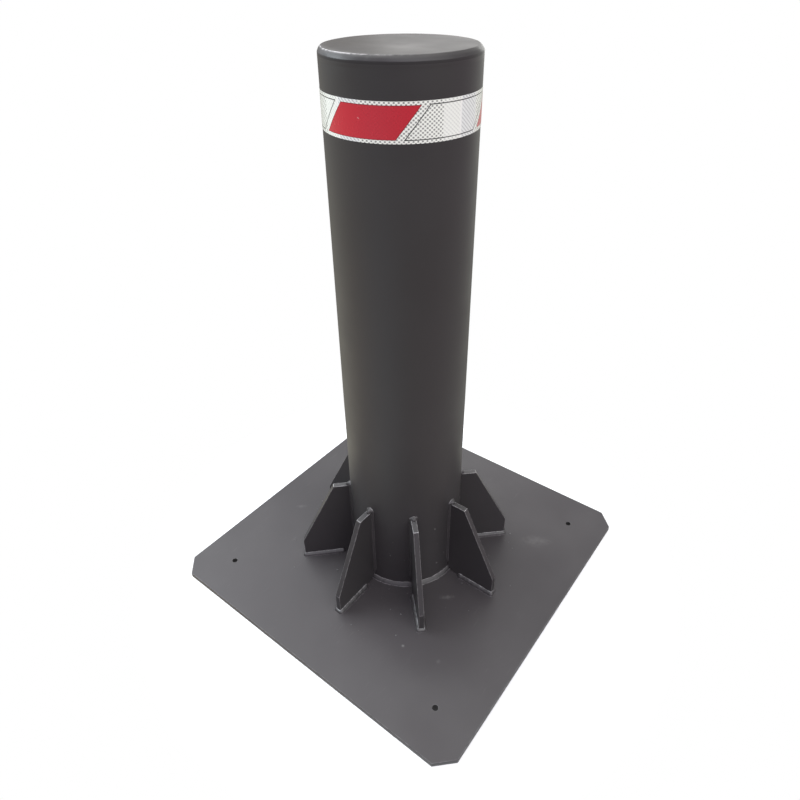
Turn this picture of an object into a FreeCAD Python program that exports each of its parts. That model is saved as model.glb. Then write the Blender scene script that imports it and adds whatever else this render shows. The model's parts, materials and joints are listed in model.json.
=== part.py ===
"""Fixed steel bollard: a capped round tube, stiffened by gussets, on a square surface-mounted base plate.

The origin is the centre of the base plate's underside and +Z runs up the tube. Lengths are in millimetres.
The base plate's sides lie along X and Y. The gussets start on +X and go round anticlockwise.
"""
import FreeCAD, Part
import os

import Sketcher

VECTOR = FreeCAD.Vector
UP = VECTOR(0, 0, 1)
ROUNDING = 1e-4
SHORTEST_SIDE = 1.0

# ------------------------------------------------------------------ driving dimensions

DIMENSIONS = [
    ("plate_side", 665.0, "base plate: side of the square"),
    ("plate_thick", 10.0, "base plate: thickness"),
    ("plate_corner", 30.0, "base plate: leg of the cut-off corners"),
    ("plate_arris", 0.8, "base plate: broken upper edge"),
    ("anchor_dia", 10.0, "anchor hole: diameter"),
    ("anchor_inset", 76.0, "anchor hole: centre to the plate's sides"),
    ("tube_outer", 219.1, "tube: outside diameter"),
    ("tube_wall", 8.0, "tube: wall"),
    ("tube_length", 950.0, "tube: length from the base plate to the cap"),
    ("cap_thick", 10.0, "cap: thickness"),
    ("cap_bevel", 6.5, "cap: bevel of the top edge"),
    ("cap_round", 1.5, "cap: rounding of the bevel's edges"),
    ("seam_depth", 5.0, "cap seam: depth of the groove in the tube's end"),
    ("seam_width", 5.0, "cap seam: height of the groove at the surface"),
    ("gusset_count", 8.0, "gusset: number round the tube"),
    ("gusset_thick", 10.0, "gusset: thickness"),
    ("gusset_height", 187.0, "gusset: height"),
    ("gusset_reach", 105.5, "gusset: foot, from the tube's surface to the toe"),
    ("gusset_ledge", 33.5, "gusset: level top, from the tube's surface outwards"),
    ("gusset_toe", 43.0, "gusset: height of the upright toe"),
    ("snipe_gap", 7.0, "gusset: leg of its cut-off inner corner, over that of the ring weld"),
    ("gusset_arris", 0.6, "gusset: rounding of the free edges"),
    ("foot_leg", 6.5, "foot weld, gusset to plate: leg"),
    ("side_leg", 5.0, "side weld, gusset to tube: leg"),
    ("ring_leg", 7.0, "ring weld, tube to plate: leg"),
    ("weld_land", 1.0, "fillet welds: thickness at the rim of a leg"),
    ("foot_stop", 9.0, "foot weld: end of the bead to the snipe"),
    ("side_stop", 3.0, "side weld: end of the bead to the snipe"),
    ("tape_width", 50.0, "reflective tape: width"),
    ("tape_thick", 0.4, "reflective tape: thickness"),
    ("tape_drop", 50.0, "reflective tape: upper edge below the bollard's top"),
]

doc = FreeCAD.newDocument("bollard")
sheet = doc.addObject("Spreadsheet::Sheet", "dims")
for row, (alias, size, meaning) in enumerate(DIMENSIONS, start=1):
    sheet.set(f"A{row}", meaning)
    sheet.set(f"B{row}", str(size))
    sheet.setAlias(f"B{row}", alias)
doc.recompute()

# Places that several pieces share, as expressions on the sheet.
PLATE_TOP = "dims.plate_thick"
TUBE_RADIUS = "dims.tube_outer / 2"
BORE_RADIUS = "dims.tube_outer / 2 - dims.tube_wall"
TUBE_TOP = "dims.plate_thick + dims.tube_length"
BOLLARD_TOP = "dims.plate_thick + dims.tube_length + dims.cap_thick"
SEAM_ROOT = "dims.tube_outer / 2 - dims.seam_depth"
MID_WALL = "dims.tube_outer / 2 - dims.tube_wall / 2"
SNIPE_RADIUS = "dims.tube_outer / 2 + dims.ring_leg + dims.snipe_gap"
SNIPE_TOP = "dims.plate_thick + dims.ring_leg + dims.snipe_gap"
GUSSET_TOP = "dims.plate_thick + dims.gusset_height"
TOE_RADIUS = "dims.tube_outer / 2 + dims.gusset_reach"


# ------------------------------------------------------------------ modelling helpers


def worked_out(expression):
    """Return the number that an expression on the sheet stands for."""
    return float(sheet.evalExpression(expression))


def new_body(label):
    """Add a body whose label is the name of the piece."""
    body = doc.addObject("PartDesign::Body", label)
    body.Label = label
    return body


def origin_feature(body, role):
    """Return the plane or axis of the body's own origin that has this role."""
    return next(item for item in body.Origin.OriginFeatures if item.Role == role)


def new_sketch(body, name, plane, lift=None):
    """Add a sketch on an origin plane of the body, moved along the plane's normal by an expression."""
    sketch = body.newObject("Sketcher::SketchObject", name)
    sketch.AttachmentSupport = [(origin_feature(body, plane), "")]
    sketch.MapMode = "FlatFace"
    if lift:
        sketch.setExpression("AttachmentOffset.Base.z", lift)
    return sketch


def bind_point(sketch, geometry, point, place):
    """Tie one point of a sketch to the sketch's origin with the two expressions of its place."""
    for kind, expression in zip(("DistanceX", "DistanceY"), place):
        size = worked_out(expression)
        constraint = Sketcher.Constraint(kind, -1, 1, geometry, point, size)
        index = sketch.addConstraint(constraint)
        sketch.setExpression(f"Constraints[{index}]", expression)


def draw_outline(sketch, corners):
    """Draw a closed outline of straight lines through corners that are pairs of expressions."""
    first = sketch.GeometryCount
    points = [VECTOR(worked_out(x), worked_out(y), 0) for x, y in corners]
    count = len(corners)
    for index, point in enumerate(points):
        sketch.addGeometry(Part.LineSegment(point, points[(index + 1) % count]))
    for index, corner in enumerate(corners):
        line, following = first + index, first + (index + 1) % count
        sketch.addConstraint(Sketcher.Constraint("Coincident", line, 2, following, 1))
        bind_point(sketch, line, 1, corner)


def draw_rectangle(sketch, low, high):
    """Draw a rectangle between two opposite corners that are pairs of expressions."""
    (left, bottom), (right, top) = low, high
    draw_outline(sketch, [(left, bottom), (right, bottom), (right, top), (left, top)])


def draw_circle(sketch, radius, centre=("0", "0")):
    """Draw a circle whose radius and centre are expressions."""
    middle = VECTOR(worked_out(centre[0]), worked_out(centre[1]), 0)
    circle = sketch.addGeometry(Part.Circle(middle, UP, worked_out(radius)))
    bind_point(sketch, circle, 3, centre)
    index = sketch.addConstraint(Sketcher.Constraint("Radius", circle, worked_out(radius)))
    sketch.setExpression(f"Constraints[{index}]", radius)


def pad(body, sketch, length, symmetric=False):
    """Pad a sketch along its normal, or by half the length to each side of it."""
    feature = body.newObject("PartDesign::Pad", sketch.Name + "_pad")
    feature.Profile = sketch
    feature.SideType = "Symmetric" if symmetric else "One side"
    feature.setExpression("Length", length)
    doc.recompute()
    return feature


def cut_through(body, sketch):
    """Cut a sketch right through the body, to both sides of its plane."""
    before = body.Shape.Volume
    feature = body.newObject("PartDesign::Pocket", sketch.Name + "_cut")
    feature.Profile = sketch
    feature.SideType = "Symmetric"
    feature.Type = "ThroughAll"
    doc.recompute()
    if not 0 < body.Shape.Volume < before:
        raise RuntimeError(f"{feature.Name} takes nothing, or everything, off {body.Label}")
    return feature


def turn(body, sketch):
    """Turn a sketch drawn in the XZ plane once round the Z axis."""
    feature = body.newObject("PartDesign::Revolution", sketch.Name + "_turn")
    feature.Profile = sketch
    feature.ReferenceAxis = (origin_feature(body, "Z_Axis"), [""])
    doc.recompute()
    return feature


def edges_where(feature, belongs):
    """Return the names of the feature's edges that a test on the edge's box accepts."""
    found = enumerate(feature.Shape.Edges, start=1)
    return [f"Edge{number}" for number, edge in found if belongs(edge.BoundBox)]


def dress(body, kind, base, edges, size):
    """Add a fillet or a chamfer of a bound size to some edges of the feature made last."""
    feature = body.newObject(f"PartDesign::{kind}", f"{base.Name}_{kind.lower()}")
    feature.Base = (base, edges)
    feature.setExpression("Radius" if kind == "Fillet" else "Size", size)
    doc.recompute()
    return feature


def near(first, second):
    """Say whether two lengths are the same, within the modeller's rounding."""
    return abs(first - second) < ROUNDING


def stand_at(body, index):
    """Turn a body about +Z to the place of gusset number index, counted from +X."""
    body.Placement = FreeCAD.Placement(VECTOR(), FreeCAD.Rotation(UP, 1))
    body.setExpression("Placement.Rotation.Angle", f"360 deg / dims.gusset_count * {index}")


# ------------------------------------------------------------------ plate, tube and cap


def make_base_plate():
    """Square plate with its corners cut off, its upper edge broken and an anchor hole in each corner."""
    body = new_body("base_plate")
    half, short = "dims.plate_side / 2", "dims.plate_side / 2 - dims.plate_corner"
    quarter = [(half, short), (short, half)]
    outline = []
    for _ in range(4):
        outline += quarter
        quarter = [(f"-({y})", x) for x, y in quarter]
    sketch = new_sketch(body, "plate_outline", "XY_Plane")
    draw_outline(sketch, outline)
    plate = pad(body, sketch, PLATE_TOP)

    holes = new_sketch(body, "plate_holes", "XY_Plane")
    near_side, far_side = "dims.anchor_inset - dims.plate_side / 2", "dims.plate_side / 2 - dims.anchor_inset"
    for x in (near_side, far_side):
        for y in (near_side, far_side):
            draw_circle(holes, "dims.anchor_dia / 2", (x, y))
    drilled = cut_through(body, holes)

    top = worked_out(PLATE_TOP)
    bore = worked_out("dims.anchor_dia")
    rim = edges_where(drilled, lambda box: near(box.ZMin, top) and not near(box.XLength, bore))
    dress(body, "Chamfer", drilled, rim, "dims.plate_arris")
    return body


def make_tube():
    """Round tube that stands on the plate, its upper end bevelled outside for the seam weld."""
    body = new_body("bollard_tube")
    sketch = new_sketch(body, "tube_section", "XZ_Plane")
    shoulder = f"{TUBE_TOP} - dims.seam_width"
    draw_outline(
        sketch,
        [
            (BORE_RADIUS, PLATE_TOP),
            (TUBE_RADIUS, PLATE_TOP),
            (TUBE_RADIUS, shoulder),
            (SEAM_ROOT, TUBE_TOP),
            (BORE_RADIUS, TUBE_TOP),
        ],
    )
    turn(body, sketch)
    return body


def make_cap():
    """Solid disc on the tube's end, with a softened bevel round its top."""
    body = new_body("cap_plate")
    sketch = new_sketch(body, "cap_section", "XZ_Plane")
    rim = f"{BOLLARD_TOP} - dims.cap_bevel"
    flat = f"{TUBE_RADIUS} - dims.cap_bevel"
    draw_outline(
        sketch,
        [
            ("0", TUBE_TOP),
            (TUBE_RADIUS, TUBE_TOP),
            (TUBE_RADIUS, rim),
            (flat, BOLLARD_TOP),
            ("0", BOLLARD_TOP),
        ],
    )
    disc = turn(body, sketch)
    rim_height = worked_out(rim) - ROUNDING
    bevel = edges_where(disc, lambda box: box.ZMin > rim_height and box.ZLength < ROUNDING)
    dress(body, "Fillet", disc, bevel, "dims.cap_round")
    return body


def make_cap_seam():
    """Groove weld between tube and cap, ground flush with the tube."""
    body = new_body("cap_seam_weld")
    sketch = new_sketch(body, "seam_section", "XZ_Plane")
    draw_outline(
        sketch,
        [
            (SEAM_ROOT, TUBE_TOP),
            (TUBE_RADIUS, f"{TUBE_TOP} - dims.seam_width"),
            (TUBE_RADIUS, TUBE_TOP),
        ],
    )
    turn(body, sketch)
    return body


def make_ring_weld():
    """Fillet weld all round the tube's foot; it passes under the gussets' cut-off inner corners."""
    body = new_body("tube_foot_weld")
    sketch = new_sketch(body, "ring_section", "XZ_Plane")
    draw_outline(
        sketch,
        [
            (TUBE_RADIUS, PLATE_TOP),
            (f"{TUBE_RADIUS} + dims.ring_leg", PLATE_TOP),
            (f"{TUBE_RADIUS} + dims.ring_leg", f"{PLATE_TOP} + dims.weld_land"),
            (f"{TUBE_RADIUS} + dims.weld_land", f"{PLATE_TOP} + dims.ring_leg"),
            (TUBE_RADIUS, f"{PLATE_TOP} + dims.ring_leg"),
        ],
    )
    turn(body, sketch)
    return body


def make_tape():
    """Band of reflective tape wrapped once round the tube near its top."""
    body = new_body("reflective_tape")
    upper = f"{BOLLARD_TOP} - dims.tape_drop"
    sketch = new_sketch(body, "tape_section", "XZ_Plane")
    draw_rectangle(
        sketch,
        (TUBE_RADIUS, f"{upper} - dims.tape_width"),
        (f"{TUBE_RADIUS} + dims.tape_thick", upper),
    )
    turn(body, sketch)
    return body


# ------------------------------------------------------------------ gussets and their welds


def make_gusset(index):
    """Flat five-sided rib: level top, sloping outer edge, upright toe, long foot, inner corner cut off."""
    number = index + 1
    body = new_body(f"gusset_{number}")
    profile = new_sketch(body, f"gusset_{number}_profile", "XZ_Plane")
    draw_outline(
        profile,
        [
            (MID_WALL, SNIPE_TOP),
            (TUBE_RADIUS, SNIPE_TOP),
            (SNIPE_RADIUS, PLATE_TOP),
            (TOE_RADIUS, PLATE_TOP),
            (TOE_RADIUS, f"{PLATE_TOP} + dims.gusset_toe"),
            (f"{TUBE_RADIUS} + dims.gusset_ledge", GUSSET_TOP),
            (MID_WALL, GUSSET_TOP),
        ],
    )
    blank = pad(body, profile, "dims.gusset_thick", symmetric=True)

    top, toe, foot = (worked_out(place) for place in (GUSSET_TOP, TOE_RADIUS, PLATE_TOP))

    def is_free(box):
        """Say whether an edge runs along the top, the slope or the toe."""
        level_top = near(box.ZMin, top) and box.XLength > SHORTEST_SIDE
        slope = near(box.ZMax, top) and near(box.XMax, toe)
        upright = near(box.XMin, toe) and box.ZLength > SHORTEST_SIDE and near(box.ZMin, foot)
        return level_top or slope or upright

    dress(body, "Fillet", blank, edges_where(blank, is_free), "dims.gusset_arris")
    tube = new_sketch(body, f"gusset_{number}_seat", "XY_Plane")
    draw_circle(tube, TUBE_RADIUS)
    cut_through(body, tube)
    stand_at(body, index)
    return body


def make_foot_weld(index):
    """Fillet weld along both sides of a gusset's foot and round its toe."""
    number = index + 1
    body = new_body(f"gusset_foot_weld_{number}")
    start = f"{SNIPE_RADIUS} + dims.foot_stop"
    end = f"{TOE_RADIUS} + dims.foot_leg"
    side = "dims.gusset_thick / 2 + dims.foot_leg"
    block = new_sketch(body, f"foot_weld_{number}_block", "XY_Plane", PLATE_TOP)
    draw_rectangle(block, (start, f"-({side})"), (end, side))
    bead = pad(body, block, "dims.foot_leg")

    reach = worked_out(end)
    corners = edges_where(bead, lambda box: near(box.XMin, reach) and box.ZLength > SHORTEST_SIDE)
    rounded = dress(body, "Fillet", bead, corners, "dims.foot_leg")
    crest = worked_out(f"{PLATE_TOP} + dims.foot_leg")
    begin = worked_out(start)
    rim = edges_where(rounded, lambda box: near(box.ZMin, crest) and not near(box.XMax, begin))
    dress(body, "Chamfer", rounded, rim, "dims.foot_leg - dims.weld_land")

    slot = new_sketch(body, f"foot_weld_{number}_slot", "XY_Plane")
    half = "dims.gusset_thick / 2"
    draw_rectangle(slot, (MID_WALL, f"-({half})"), (TOE_RADIUS, half))
    cut_through(body, slot)
    stand_at(body, index)
    return body


def make_side_weld(index):
    """Fillet weld up one side of a gusset's joint with the tube, over its top and down the other side."""
    number = index + 1
    body = new_body(f"gusset_side_weld_{number}")
    half = "dims.gusset_thick / 2"
    side = f"{half} + dims.side_leg"
    start = f"{SNIPE_TOP} + dims.side_stop"
    crest = f"{GUSSET_TOP} + dims.side_leg"
    block = new_sketch(body, f"side_weld_{number}_block", "YZ_Plane", MID_WALL)
    draw_rectangle(block, (f"-({side})", start), (side, crest))
    bead = pad(body, block, f"{TUBE_RADIUS} + dims.side_leg - ({MID_WALL})")

    peak = worked_out(crest)
    corners = edges_where(bead, lambda box: near(box.ZMin, peak) and box.XLength > SHORTEST_SIDE)
    rounded = dress(body, "Fillet", bead, corners, "dims.side_leg")
    face = worked_out(f"{TUBE_RADIUS} + dims.side_leg")
    begin = worked_out(start)
    rim = edges_where(rounded, lambda box: near(box.XMin, face) and not near(box.ZMax, begin))
    dress(body, "Chamfer", rounded, rim, "dims.side_leg - dims.weld_land")

    slot = new_sketch(body, f"side_weld_{number}_slot", "YZ_Plane")
    draw_rectangle(slot, (f"-({half})", "0"), (half, GUSSET_TOP))
    cut_through(body, slot)
    tube = new_sketch(body, f"side_weld_{number}_seat", "XY_Plane")
    draw_circle(tube, TUBE_RADIUS)
    cut_through(body, tube)
    stand_at(body, index)
    return body


# ------------------------------------------------------------------ assembly and export


def check_everything(pieces):
    """Stop if any object failed to recompute, or if a piece isn't one or more valid solids."""
    doc.recompute()
    for item in doc.Objects:
        if "Invalid" in item.State or "Error" in item.State:
            raise RuntimeError(f"{item.Label} failed: {item.State}")
    for piece in pieces:
        if piece.Shape.isNull() or not piece.Shape.isValid() or not piece.Shape.Solids:
            raise RuntimeError(f"{piece.Label} is not a valid solid")


def main():
    """Build every piece and write each to its own file."""
    pieces = [make_base_plate(), make_tube(), make_cap(), make_cap_seam(), make_ring_weld(), make_tape()]
    for index in range(round(worked_out("dims.gusset_count"))):
        pieces += [make_gusset(index), make_foot_weld(index), make_side_weld(index)]
    check_everything(pieces)
    os.makedirs("parts", exist_ok=True)
    for piece in pieces:
        piece.Shape.exportStep(f"parts/{piece.Label}.step")
        print(f"{piece.Label:22s} {piece.Shape.Volume / 1000:10.2f} cm3  solids {len(piece.Shape.Solids)}")


main()
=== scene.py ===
"""Visual model of a fixed steel bollard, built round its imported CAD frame.

A capped round tube stands on a square base plate, held by eight welded gussets, and carries a band of
reflective tape near its top. Every length is in metres, in the frame of the CAD model: the origin is the
centre of the base plate's underside, +Z runs up the tube, and X and Y lie along the plate's sides.
"""
import sys
import json
import logging
import math
from dataclasses import dataclass
from enum import Enum
from typing import Callable, Sequence

import bmesh
import bpy
import numpy as np
from mathutils import Matrix, Vector


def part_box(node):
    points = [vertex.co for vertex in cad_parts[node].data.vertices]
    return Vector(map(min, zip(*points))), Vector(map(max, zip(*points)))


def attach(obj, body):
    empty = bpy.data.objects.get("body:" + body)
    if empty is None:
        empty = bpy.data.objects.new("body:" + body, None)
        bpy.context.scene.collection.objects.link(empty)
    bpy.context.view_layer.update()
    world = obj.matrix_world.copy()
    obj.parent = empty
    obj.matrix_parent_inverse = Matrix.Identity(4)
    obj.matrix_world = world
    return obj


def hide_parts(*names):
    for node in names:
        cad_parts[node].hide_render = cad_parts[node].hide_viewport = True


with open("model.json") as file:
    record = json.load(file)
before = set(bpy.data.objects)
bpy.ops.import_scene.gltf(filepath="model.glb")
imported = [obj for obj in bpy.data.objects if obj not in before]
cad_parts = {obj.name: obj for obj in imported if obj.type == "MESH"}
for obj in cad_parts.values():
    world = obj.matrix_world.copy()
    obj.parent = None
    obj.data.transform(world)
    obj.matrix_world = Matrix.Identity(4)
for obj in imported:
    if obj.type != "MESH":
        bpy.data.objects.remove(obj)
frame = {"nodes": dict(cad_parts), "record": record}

MM = 0.001
ROOT_BODY = "root"
ARRIS = "arris"
BORE = "bore"
GIRTH = "girth"

log = logging.getLogger("bollard")

Colour = tuple[float, float, float]
Outline = list[tuple[float, float]]


# ---------------------------------------------------------------------------- sizes, most of them read from the frame


class Slot(Enum):
    """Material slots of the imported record."""

    STEEL = "painted_steel"
    WELD = "painted_weld"
    FILM = "reflective_film"


@dataclass(frozen=True)
class Sizes:
    """The bollard's sizes, most read from the CAD nodes' boxes and from the record's mounts, the rest
    given as numbers.
    """

    plate_half: float
    plate_top: float
    plate_corner: float
    hole_offset: float
    hole_radius: float
    tube_radius: float
    tube_wall: float
    tube_top: float
    bollard_top: float
    cap_bevel: float
    seam: float
    gusset_count: int
    gusset_thick: float
    gusset_top: float
    gusset_ledge: float
    gusset_toe: float
    gusset_reach: float
    snipe: float
    foot_leg: float
    side_leg: float
    ring_leg: float
    tape_low: float
    tape_high: float

    @classmethod
    def from_frame(cls) -> "Sizes":
        """Measure the CAD nodes.

        Returns:
            The sizes that every sub-assembly is built from.
        """
        _, plate_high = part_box("base_plate")
        _, tube_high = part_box("bollard_tube")
        _, cap_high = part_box("cap_plate")
        seam_low, seam_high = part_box("cap_seam_weld")
        rib_low, rib_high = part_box("gusset_1")
        foot_low, foot_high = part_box("gusset_foot_weld_1")
        _, side_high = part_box("gusset_side_weld_1")
        ring_low, ring_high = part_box("tube_foot_weld")
        tape_low, tape_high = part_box("reflective_tape")
        anchors = next(m for m in frame["record"]["mounts"] if m["name"] == "anchor_holes")
        gussets = [name for name in frame["nodes"] if name.startswith("gusset_") and "weld" not in name]
        radius = tube_high.x
        return cls(
            plate_half=plate_high.x,
            plate_top=plate_high.z,
            plate_corner=30 * MM,
            hole_offset=anchors["dims"]["spacing_x_mm"] / 2 * MM,
            hole_radius=anchors["dims"]["hole_r_mm"] * MM,
            tube_radius=radius,
            tube_wall=8 * MM,
            tube_top=tube_high.z,
            bollard_top=cap_high.z,
            cap_bevel=6.5 * MM,
            seam=seam_high.z - seam_low.z,
            gusset_count=len(gussets),
            gusset_thick=rib_high.y - rib_low.y,
            gusset_top=rib_high.z,
            gusset_ledge=33.5 * MM,
            gusset_toe=43 * MM,
            gusset_reach=rib_high.x - radius,
            snipe=14 * MM,
            foot_leg=foot_high.z - foot_low.z,
            side_leg=side_high.x - radius,
            ring_leg=ring_high.z - ring_low.z,
            tape_low=tape_low.z,
            tape_high=tape_high.z,
        )


# ---------------------------------------------------------------------------- node trees


Socket = bpy.types.NodeSocket
Outputs = bpy.types.bpy_prop_collection
Value = Socket | float | int | bool | Sequence[float]


class Graph:
    """Adds and links the nodes of one shader or geometry tree."""

    def __init__(self, tree: bpy.types.NodeTree) -> None:
        """Wrap a node tree."""
        self.tree = tree

    def feed(self, socket: Socket, value: Value) -> None:
        """Link a socket to an input, or set the input's own value.

        Args:
            socket: The input that takes the value.
            value: Another node's output, or a plain number, colour or vector.
        """
        if isinstance(value, bpy.types.NodeSocket):
            self.tree.links.new(value, socket)
        else:
            socket.default_value = value

    def node(
        self, kind: str, inputs: dict[str | int, Value] | None = None, **settings: object
    ) -> bpy.types.Node:
        """Add a node.

        Args:
            kind: The node's Blender type name.
            inputs: Values for its input sockets, by name or index.
            **settings: Values for its properties.

        Returns:
            The new node.
        """
        made = self.tree.nodes.new(kind)
        for name, setting in settings.items():
            setattr(made, name, setting)
        for key, value in (inputs or {}).items():
            self.feed(made.inputs[key], value)
        return made

    def math(self, operation: str, first: Value, second: Value = 0.0, third: Value = 0.0) -> Socket:
        """Add a Math node and return its result."""
        inputs = {0: first, 1: second, 2: third}
        return self.node("ShaderNodeMath", inputs, operation=operation).outputs[0]

    def vector(self, operation: str, first: Value, second: Value = (0.0, 0.0, 0.0)) -> Socket:
        """Add a Vector Math node that combines two vectors and return its vector."""
        return self.node("ShaderNodeVectorMath", {0: first, 1: second}, operation=operation).outputs[0]

    def scale(self, vector: Value, factor: Value) -> Socket:
        """Multiply a vector by a number."""
        inputs = {0: vector, "Scale": factor}
        return self.node("ShaderNodeVectorMath", inputs, operation="SCALE").outputs[0]

    def length(self, vector: Value) -> Socket:
        """Measure a vector."""
        return self.node("ShaderNodeVectorMath", {0: vector}, operation="LENGTH").outputs["Value"]

    def combine(self, x: Value, y: Value, z: Value) -> Socket:
        """Make a vector of three numbers."""
        return self.node("ShaderNodeCombineXYZ", {0: x, 1: y, 2: z}).outputs[0]

    def split(self, vector: Socket) -> tuple[Socket, Socket, Socket]:
        """Take a vector apart into its three numbers."""
        parts = self.node("ShaderNodeSeparateXYZ", {0: vector}).outputs
        return parts[0], parts[1], parts[2]

    def band(
        self, value: Value, low: float, high: float, start: Value = 0.0, end: Value = 1.0
    ) -> Socket:
        """Map a value smoothly from one range to another.

        Args:
            value: The number to map.
            low: Where the change begins.
            high: Where the change ends.
            start: The result at and before low.
            end: The result at and after high.

        Returns:
            The mapped number.
        """
        inputs = {"Value": value, "From Min": low, "From Max": high, "To Min": start, "To Max": end}
        return self.node("ShaderNodeMapRange", inputs, interpolation_type="SMOOTHSTEP").outputs[0]

    def noise(self, place: Value, scale: float, detail: float = 2.0, seed: Value = 0.0) -> Socket:
        """Add a four-dimensional noise and return its number, from 0 to 1."""
        inputs = {"Vector": place, "W": seed, "Scale": scale, "Detail": detail}
        return self.node("ShaderNodeTexNoise", inputs, noise_dimensions="4D").outputs[0]

    def blend(self, factor: Value, low: Value, high: Value) -> Socket:
        """Mix two colours by a factor.

        Args:
            factor: 0 for the first colour, 1 for the second.
            low: The first colour.
            high: The second colour.

        Returns:
            The mixed colour.
        """
        made = self.node("ShaderNodeMix", data_type="RGBA")
        self.feed(made.inputs[0], factor)
        self.feed(made.inputs[6], low)
        self.feed(made.inputs[7], high)
        return made.outputs[2]


class ShapeTree:
    """A geometry tree with named inputs, which shapes the mesh that it is given and dresses the result.

    Each kind of tree names itself and its number inputs, and adds its own nodes in _shape.
    """

    TITLE = ""
    NUMBERS: dict[str, str] = {}
    MATERIAL = "Material"

    def __init__(self) -> None:
        self.tree = bpy.data.node_groups.new(self.TITLE, "GeometryNodeTree")
        face = self.tree.interface
        kinds = {"Geometry": "Geometry", **self.NUMBERS, self.MATERIAL: "Material"}
        for name, kind in kinds.items():
            face.new_socket(name, in_out="INPUT", socket_type=f"NodeSocket{kind}")
        face.new_socket("Geometry", in_out="OUTPUT", socket_type="NodeSocketGeometry")
        graph = Graph(self.tree)
        given = graph.node("NodeGroupInput").outputs
        real = graph.node("GeometryNodeRealizeInstances", {0: self._shape(graph, given)}).outputs[0]
        dressed = graph.node(
            "GeometryNodeSetMaterial", {"Geometry": real, "Material": given[self.MATERIAL]}
        )
        graph.feed(graph.node("NodeGroupOutput").inputs[0], dressed.outputs[0])

    def _shape(self, graph: Graph, given: Outputs) -> Socket:
        """Add the nodes that shape the mesh.

        Args:
            graph: The tree's graph.
            given: The tree's inputs.

        Returns:
            The shaped geometry.
        """
        raise NotImplementedError

    def run(self, piece: bpy.types.Object, values: dict[str, object]) -> None:
        """Run the tree on a piece and keep its result as a plain mesh.

        Args:
            piece: The object that the tree starts from.
            values: The tree's inputs, by name.
        """
        modifier = piece.modifiers.new(self.TITLE, "NODES")
        modifier.node_group = self.tree
        for item in self.tree.interface.items_tree:
            if item.in_out == "INPUT" and item.name in values:
                modifier[item.identifier] = values[item.name]
        Shop.bake(piece)


def opaque(colour: Colour) -> tuple[float, float, float, float]:
    """Add a full alpha to a colour."""
    return (*colour, 1.0)


def shaded(colour: Colour, factor: float) -> tuple[float, float, float, float]:
    """Return a colour made lighter or darker by a factor, with a full alpha."""
    return opaque(tuple(part * factor for part in colour))


# ---------------------------------------------------------------------------- finishes


@dataclass(frozen=True)
class Smudge:
    """One pale mark on a level face: its middle, size and strength, and the way it runs in degrees."""

    x: float
    y: float
    length: float
    width: float
    strength: float
    turn: float = -52.0
    tearing: float = 1.6

    def mark(self, graph: Graph, place: Socket) -> Socket:
        """Draw the mark.

        Args:
            graph: The material's node graph.
            place: Object coordinates.

        Returns:
            The mark's strength at each place.
        """
        inputs = {
            "Vector": place,
            "Location": (self.x, self.y, 0.0),
            "Rotation": (0.0, 0.0, math.radians(self.turn)),
            "Scale": (self.length / 2, self.width / 2, 1.0),
        }
        own = graph.node("ShaderNodeMapping", inputs, vector_type="TEXTURE").outputs[0]
        torn = graph.noise(place, scale=130.0, detail=4.0, seed=8.3)
        away = graph.math("MULTIPLY_ADD", torn, self.tearing, graph.length(own))
        return graph.band(away, 0.6, 1.7, self.strength, 0.0)


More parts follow.
